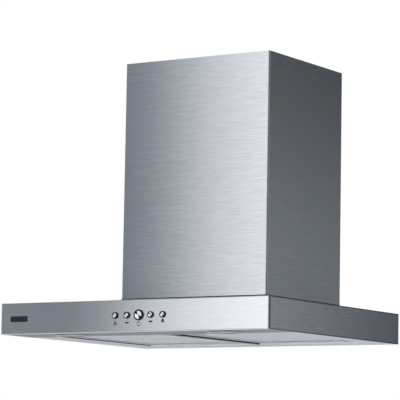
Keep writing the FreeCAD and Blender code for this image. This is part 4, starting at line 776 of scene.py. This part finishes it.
def foot_shade_band():
    """Dark band round the chimney cover, 18 mm above its foot: painted shade for the shaded joint where the
    cover meets the canopy.
    """
    low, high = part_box("lower_chimney")
    rise, height, proud = 18 * MM, 3.2 * MM, 0.15 * MM
    bottom, top = low.z + rise, low.z + rise + height
    work = bmesh.new()
    corner = Vector((low.x - proud, low.y - proud, bottom))
    box_into(work, corner, Vector((high.x + proud, low.y + proud, top)))
    for start, end in ((low.x - proud, low.x + proud), (high.x - proud, high.x + proud)):
        box_into(work, Vector((start, low.y + proud, bottom)), Vector((end, high.y, top)))
    piece = finished(work, "foot_shade_band", "shade_band")
    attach(piece, "root")


def bay_shade_strips():
    """Thin black strips on the side walls of the bay, just below the filter frames: painted shade for the
    shadow lines there.
    """
    low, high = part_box("filter_frame_left")
    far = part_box("filter_frame_right")[1]
    side_gap, end_gap, thick = 0.5 * MM, 1 * MM, 0.4 * MM
    wall, rear = far.x + side_gap, high.y + end_gap
    bottom, top = low.z - 1.7 * MM, low.z - 0.2 * MM
    work = bmesh.new()
    for start, end in ((-wall, -wall + thick), (wall - thick, wall)):
        box_into(work, Vector((start, low.y, bottom)), Vector((end, rear, top)))
    piece = finished(work, "bay_shade_strips", "rubber")
    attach(piece, "root")


def islands(node):
    """The lowest and highest corners of each separate solid of a node."""
    work = bmesh.new()
    work.from_mesh(NODES[node].data)
    bmesh.ops.remove_doubles(work, verts=work.verts, dist=0.001 * MM)
    waiting = set(work.verts)
    found = []
    while waiting:
        reached = [waiting.pop()]
        group = list(reached)
        while reached:
            for link in reached.pop().link_edges:
                for vertex in link.verts:
                    if vertex in waiting:
                        waiting.remove(vertex)
                        reached.append(vertex)
                        group.append(vertex)
        low = Vector([min(vertex.co[axis] for vertex in group) for axis in range(3)])
        high = Vector([max(vertex.co[axis] for vertex in group) for axis in range(3)])
        found.append((low, high))
    work.free()
    return sorted(found, key=lambda pair: tuple(round(value, 5) for value in pair[0]))


def screw_tree():
    """Pan head screws with a cross recess: a tapered head, less two crossed slots, on a shank."""
    sizes = {"Head": "NodeSocketFloat", "Height": "NodeSocketFloat", "Shank": "NodeSocketFloat",
             "Grip": "NodeSocketFloat", "Recess": "NodeSocketFloat", "Flip": "NodeSocketFloat"}
    tree, take, out = tree_with_sizes("pan_head_screws", sizes)
    head = add(tree, "GeometryNodeMeshCone", {"Vertices": 24, "Radius Top": take["Recess"],
                                              "Radius Bottom": take["Head"], "Depth": take["Height"]})
    depth = add(tree, "ShaderNodeMath", {0: take["Height"], 1: 1.2}, operation="MULTIPLY")
    width = add(tree, "ShaderNodeMath", {0: take["Head"], 1: 0.2}, operation="MULTIPLY")
    size = add(tree, "ShaderNodeCombineXYZ", {"X": take["Head"], "Y": width, "Z": depth})
    groove = add(tree, "GeometryNodeMeshCube", {"Size": size})
    lift = add(tree, "ShaderNodeCombineXYZ", {"Z": take["Height"]})
    cutter = add(tree, "GeometryNodeJoinGeometry")
    for turn in (0.0, math.pi / 2):
        inputs = {"Geometry": groove, "Translation": lift, "Rotation": (0.0, 0.0, turn)}
        feed(tree, cutter, {0: add(tree, "GeometryNodeTransform", inputs)})
    cut = add(tree, "GeometryNodeMeshBoolean", {"Mesh 1": head, "Mesh 2": cutter}, operation="DIFFERENCE")
    inputs = {"Vertices": 16, "Radius": take["Shank"], "Depth": take["Grip"]}
    shank = add(tree, "GeometryNodeMeshCylinder", inputs)
    half = add(tree, "ShaderNodeMath", {0: take["Grip"], 1: -0.5}, operation="MULTIPLY")
    sink = add(tree, "ShaderNodeCombineXYZ", {"Z": half})
    whole = add(tree, "GeometryNodeJoinGeometry", {0: cut})
    feed(tree, whole, {0: add(tree, "GeometryNodeTransform", {"Geometry": shank, "Translation": sink})})
    flip = add(tree, "ShaderNodeCombineXYZ", {"X": take["Flip"]})
    facing = add(tree, "GeometryNodeTransform", {"Geometry": whole, "Rotation": flip})
    copies = add(tree, "GeometryNodeInstanceOnPoints", {"Points": take["Geometry"], "Instance": facing})
    real = add(tree, "GeometryNodeRealizeInstances", {"Geometry": copies})
    named = add(tree, "GeometryNodeSetMaterial", {"Geometry": real, "Material": MATERIALS["zinc"]})
    feed(tree, out, {0: named})
    return tree


def fasteners():
    """Screws with their recesses at the places of the plain ones."""
    tree = screw_tree()
    head = 2.5 * MM
    for name, down in (("blower_screws", False), ("collar_screws", False), ("chimney_screws", True)):
        found = islands(name)
        places = []
        for low, high in found:
            seat = low.z + head if down else high.z - head
            places.append(((low.x + high.x) / 2, (low.y + high.y) / 2, seat))
        base = bpy.data.meshes.new(f"{name}_base")
        base.from_pydata(places, [], [])
        low, high = found[0]
        sizes = {"Head": 3.5 * MM, "Height": head, "Shank": 2 * MM, "Grip": high.z - low.z - head,
                 "Recess": 2.7 * MM, "Flip": math.pi if down else 0.0}
        piece = run_tree(f"{name}_cross", base, tree, sizes, "zinc")
        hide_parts(name)
        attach(piece, "root")


def hexagon_nuts():
    """Hexagon nuts on the studs behind the front panel."""
    work = bmesh.new()
    for low, high in islands("panel_nuts"):
        centre = (low + high) / 2
        radius, bore = (high.x - low.x) / 2, 2.0 * MM
        rows = []
        for y in (low.y, high.y):
            for size, corners in ((radius, 6), (bore, 24)):
                rows.append([work.verts.new((centre.x + size * math.cos(math.tau * step / corners), y,
                                             centre.z + size * math.sin(math.tau * step / corners)))
                             for step in range(corners)])
        outer_front, inner_front, outer_back, inner_back = rows
        for first, second in ((outer_front, outer_back), (inner_front, inner_back)):
            for index in range(len(first)):
                following = (index + 1) % len(first)
                work.faces.new((first[index], first[following], second[following], second[index]))
        for outer, inner in ((outer_front, inner_front), (outer_back, inner_back)):
            for index in range(6):
                following = (index + 1) % 6
                arc = [inner[(index * 4 + step) % 24] for step in range(5)]
                work.faces.new([outer[index], outer[following], *reversed(arc)])
    bmesh.ops.recalc_face_normals(work, faces=work.faces)
    piece = finished(work, "hexagon_nuts", "zinc")
    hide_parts("panel_nuts")
    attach(piece, "root")


def camera():
    """The photograph's view."""
    right = Vector((math.cos(CAMERA_YAW), math.sin(CAMERA_YAW), 0.0))
    level = math.cos(CAMERA_PITCH)
    forward = Vector((-math.sin(CAMERA_YAW) * level, math.cos(CAMERA_YAW) * level, math.sin(CAMERA_PITCH)))
    upward = right.cross(forward)
    turned_right = right * math.cos(CAMERA_ROLL) + upward * math.sin(CAMERA_ROLL)
    turned_up = upward * math.cos(CAMERA_ROLL) - right * math.sin(CAMERA_ROLL)
    data = bpy.data.cameras.new("camera")
    data.lens = CAMERA_LENS
    data.sensor_width = CAMERA_SENSOR
    data.clip_end = 50.0
    lens = bpy.data.objects.new("camera", data)
    turn = Matrix((turned_right, turned_up, -forward)).transposed().to_4x4()
    lens.matrix_world = Matrix.Translation(CAMERA_PLACE) @ turn
    bpy.context.scene.collection.objects.link(lens)
    bpy.context.scene.camera = lens


def card(name, low, high, colours, across, up=((0.0, 1.0),)):
    """A studio card, upright or level, that only mirrors show. Its level follows stops along X and Z."""
    mesh = bpy.data.meshes.new(name)
    if low[2] == high[2]:
        corners = [low, (high[0], low[1], low[2]), high, (low[0], high[1], low[2])]
    else:
        corners = [low, (high[0], high[1], low[2]), high, (low[0], low[1], high[2])]
    mesh.from_pydata(corners, [], [(0, 1, 2, 3)])
    made = bpy.data.objects.new(name, mesh)
    bpy.context.scene.collection.objects.link(made)
    material = bpy.data.materials.new(name)
    material.use_nodes = True
    tree = material.node_tree
    tree.nodes.clear()
    axes = object_axes(tree)
    factors = {0: graded(tree, axes["X"], across), 1: graded(tree, axes["Z"], up)}
    level = add(tree, "ShaderNodeMath", factors, operation="MULTIPLY")
    colour = layered(tree, linear(colours[0]), (level, colours[1]))
    glow = add(tree, "ShaderNodeEmission", {"Color": colour, "Strength": level})
    add(tree, "ShaderNodeOutputMaterial", {"Surface": glow})
    mesh.materials.append(material)
    made.visible_camera = False
    made.visible_diffuse = False
    made.visible_shadow = False
    made.visible_transmission = False


def graded(tree, value, stops):
    """A level that follows straight lines between (place, level) stops."""
    level = stops[0][1]
    for (start, first), (end, second) in zip(stops, stops[1:]):
        limits = {"Value": value, "From Min": start, "From Max": end, "To Max": second - first}
        step = add(tree, "ShaderNodeMapRange", limits)
        level = add(tree, "ShaderNodeMath", {0: level, 1: step}, operation="ADD")
    return level


def soft_light(name, place, target, size, power):
    """A square soft lamp aimed at a point, which metal doesn't mirror."""
    data = bpy.data.lights.new(name, "AREA")
    data.shape = "SQUARE"
    data.size = size
    data.energy = power
    lamp = bpy.data.objects.new(name, data)
    lamp.location = place
    lamp.rotation_mode = "QUATERNION"
    lamp.rotation_quaternion = (Vector(target) - Vector(place)).to_track_quat("-Z", "Y")
    lamp.visible_glossy = False
    bpy.context.scene.collection.objects.link(lamp)


def floor():
    """Pale floor at the height of a hob, which isn't there when seen from below."""
    mesh = bpy.data.meshes.new("floor")
    half, height = 6.0, -0.75
    corners = [(-half, -half, height), (half, -half, height), (half, half, height), (-half, half, height)]
    mesh.from_pydata(corners, [], [(0, 1, 2, 3)])
    made = bpy.data.objects.new("floor", mesh)
    bpy.context.scene.collection.objects.link(made)
    material, tree, shader = new_material("floor", Base_Color=linear("f0f0f0"), Roughness=0.9)
    clear = add(tree, "ShaderNodeBsdfTransparent")
    behind = add(tree, "ShaderNodeNewGeometry").outputs["Backfacing"]
    blend = add(tree, "ShaderNodeMixShader", {0: behind, 1: shader, 2: clear})
    output = next(node for node in tree.nodes if node.type == "OUTPUT_MATERIAL")
    feed(tree, output, {"Surface": blend})
    mesh.materials.append(material)


def world():
    """Plain white for the camera, metal and glass, and a plain level of light for the rest."""
    made = bpy.data.worlds.new("studio")
    bpy.context.scene.world = made
    made.use_nodes = True
    tree = made.node_tree
    tree.nodes.clear()
    rays = add(tree, "ShaderNodeLightPath").outputs
    seen = rays["Is Camera Ray"]
    for kind in ("Is Glossy Ray", "Is Transmission Ray"):
        seen = add(tree, "ShaderNodeMath", {0: seen, 1: rays[kind]}, operation="MAXIMUM")
    light = add(tree, "ShaderNodeBackground", {"Color": linear("f4f6fa"), "Strength": 0.85})
    white = add(tree, "ShaderNodeBackground", {"Color": linear("ffffff"), "Strength": 1.0})
    blend = add(tree, "ShaderNodeMixShader", {0: seen, 1: light, 2: white})
    add(tree, "ShaderNodeOutputWorld", {"Surface": blend})


def studio():
    """Camera, world, floor, lamp and the cards that shade the steel from left to right."""
    camera()
    world()
    floor()
    soft_light("key", (-1.2, -2.6, 2.2), (0, -0.2, 0.25), 1.6, 30)
    card("front_card", (-14.0, -6.0, -4.0), (6.0, -6.0, 7.0), FRONT_COLOURS, FRONT_STOPS)
    card("left_card", (-14.0, -6.0, -4.0), (-14.0, 3.0, 7.0), FRONT_COLOURS, PLAIN_LEVEL)
    card("end_card", (6.0, -6.0, -4.0), (6.0, 3.0, 7.0), FRONT_COLOURS, PLAIN_LEVEL)
    card("low_card", (-2.2, -2.2, -0.7), (0.6, -0.62, -0.7), FRONT_COLOURS, LOW_STOPS)
    card("side_card", (0.6, 3.0, -3.0), (6.0, 3.0, 5.0), SIDE_COLOURS, SIDE_STOPS, SIDE_HEIGHT_STOPS)
    bpy.context.scene.view_settings.view_transform = "Standard"


def build():
    """Makes every piece."""
    dress_nodes()
    buttons()
    badge()
    prints()
    lamps()
    filters()
    foot_shade_band()
    bay_shade_strips()
    fasteners()
    hexagon_nuts()
    studio()


build()
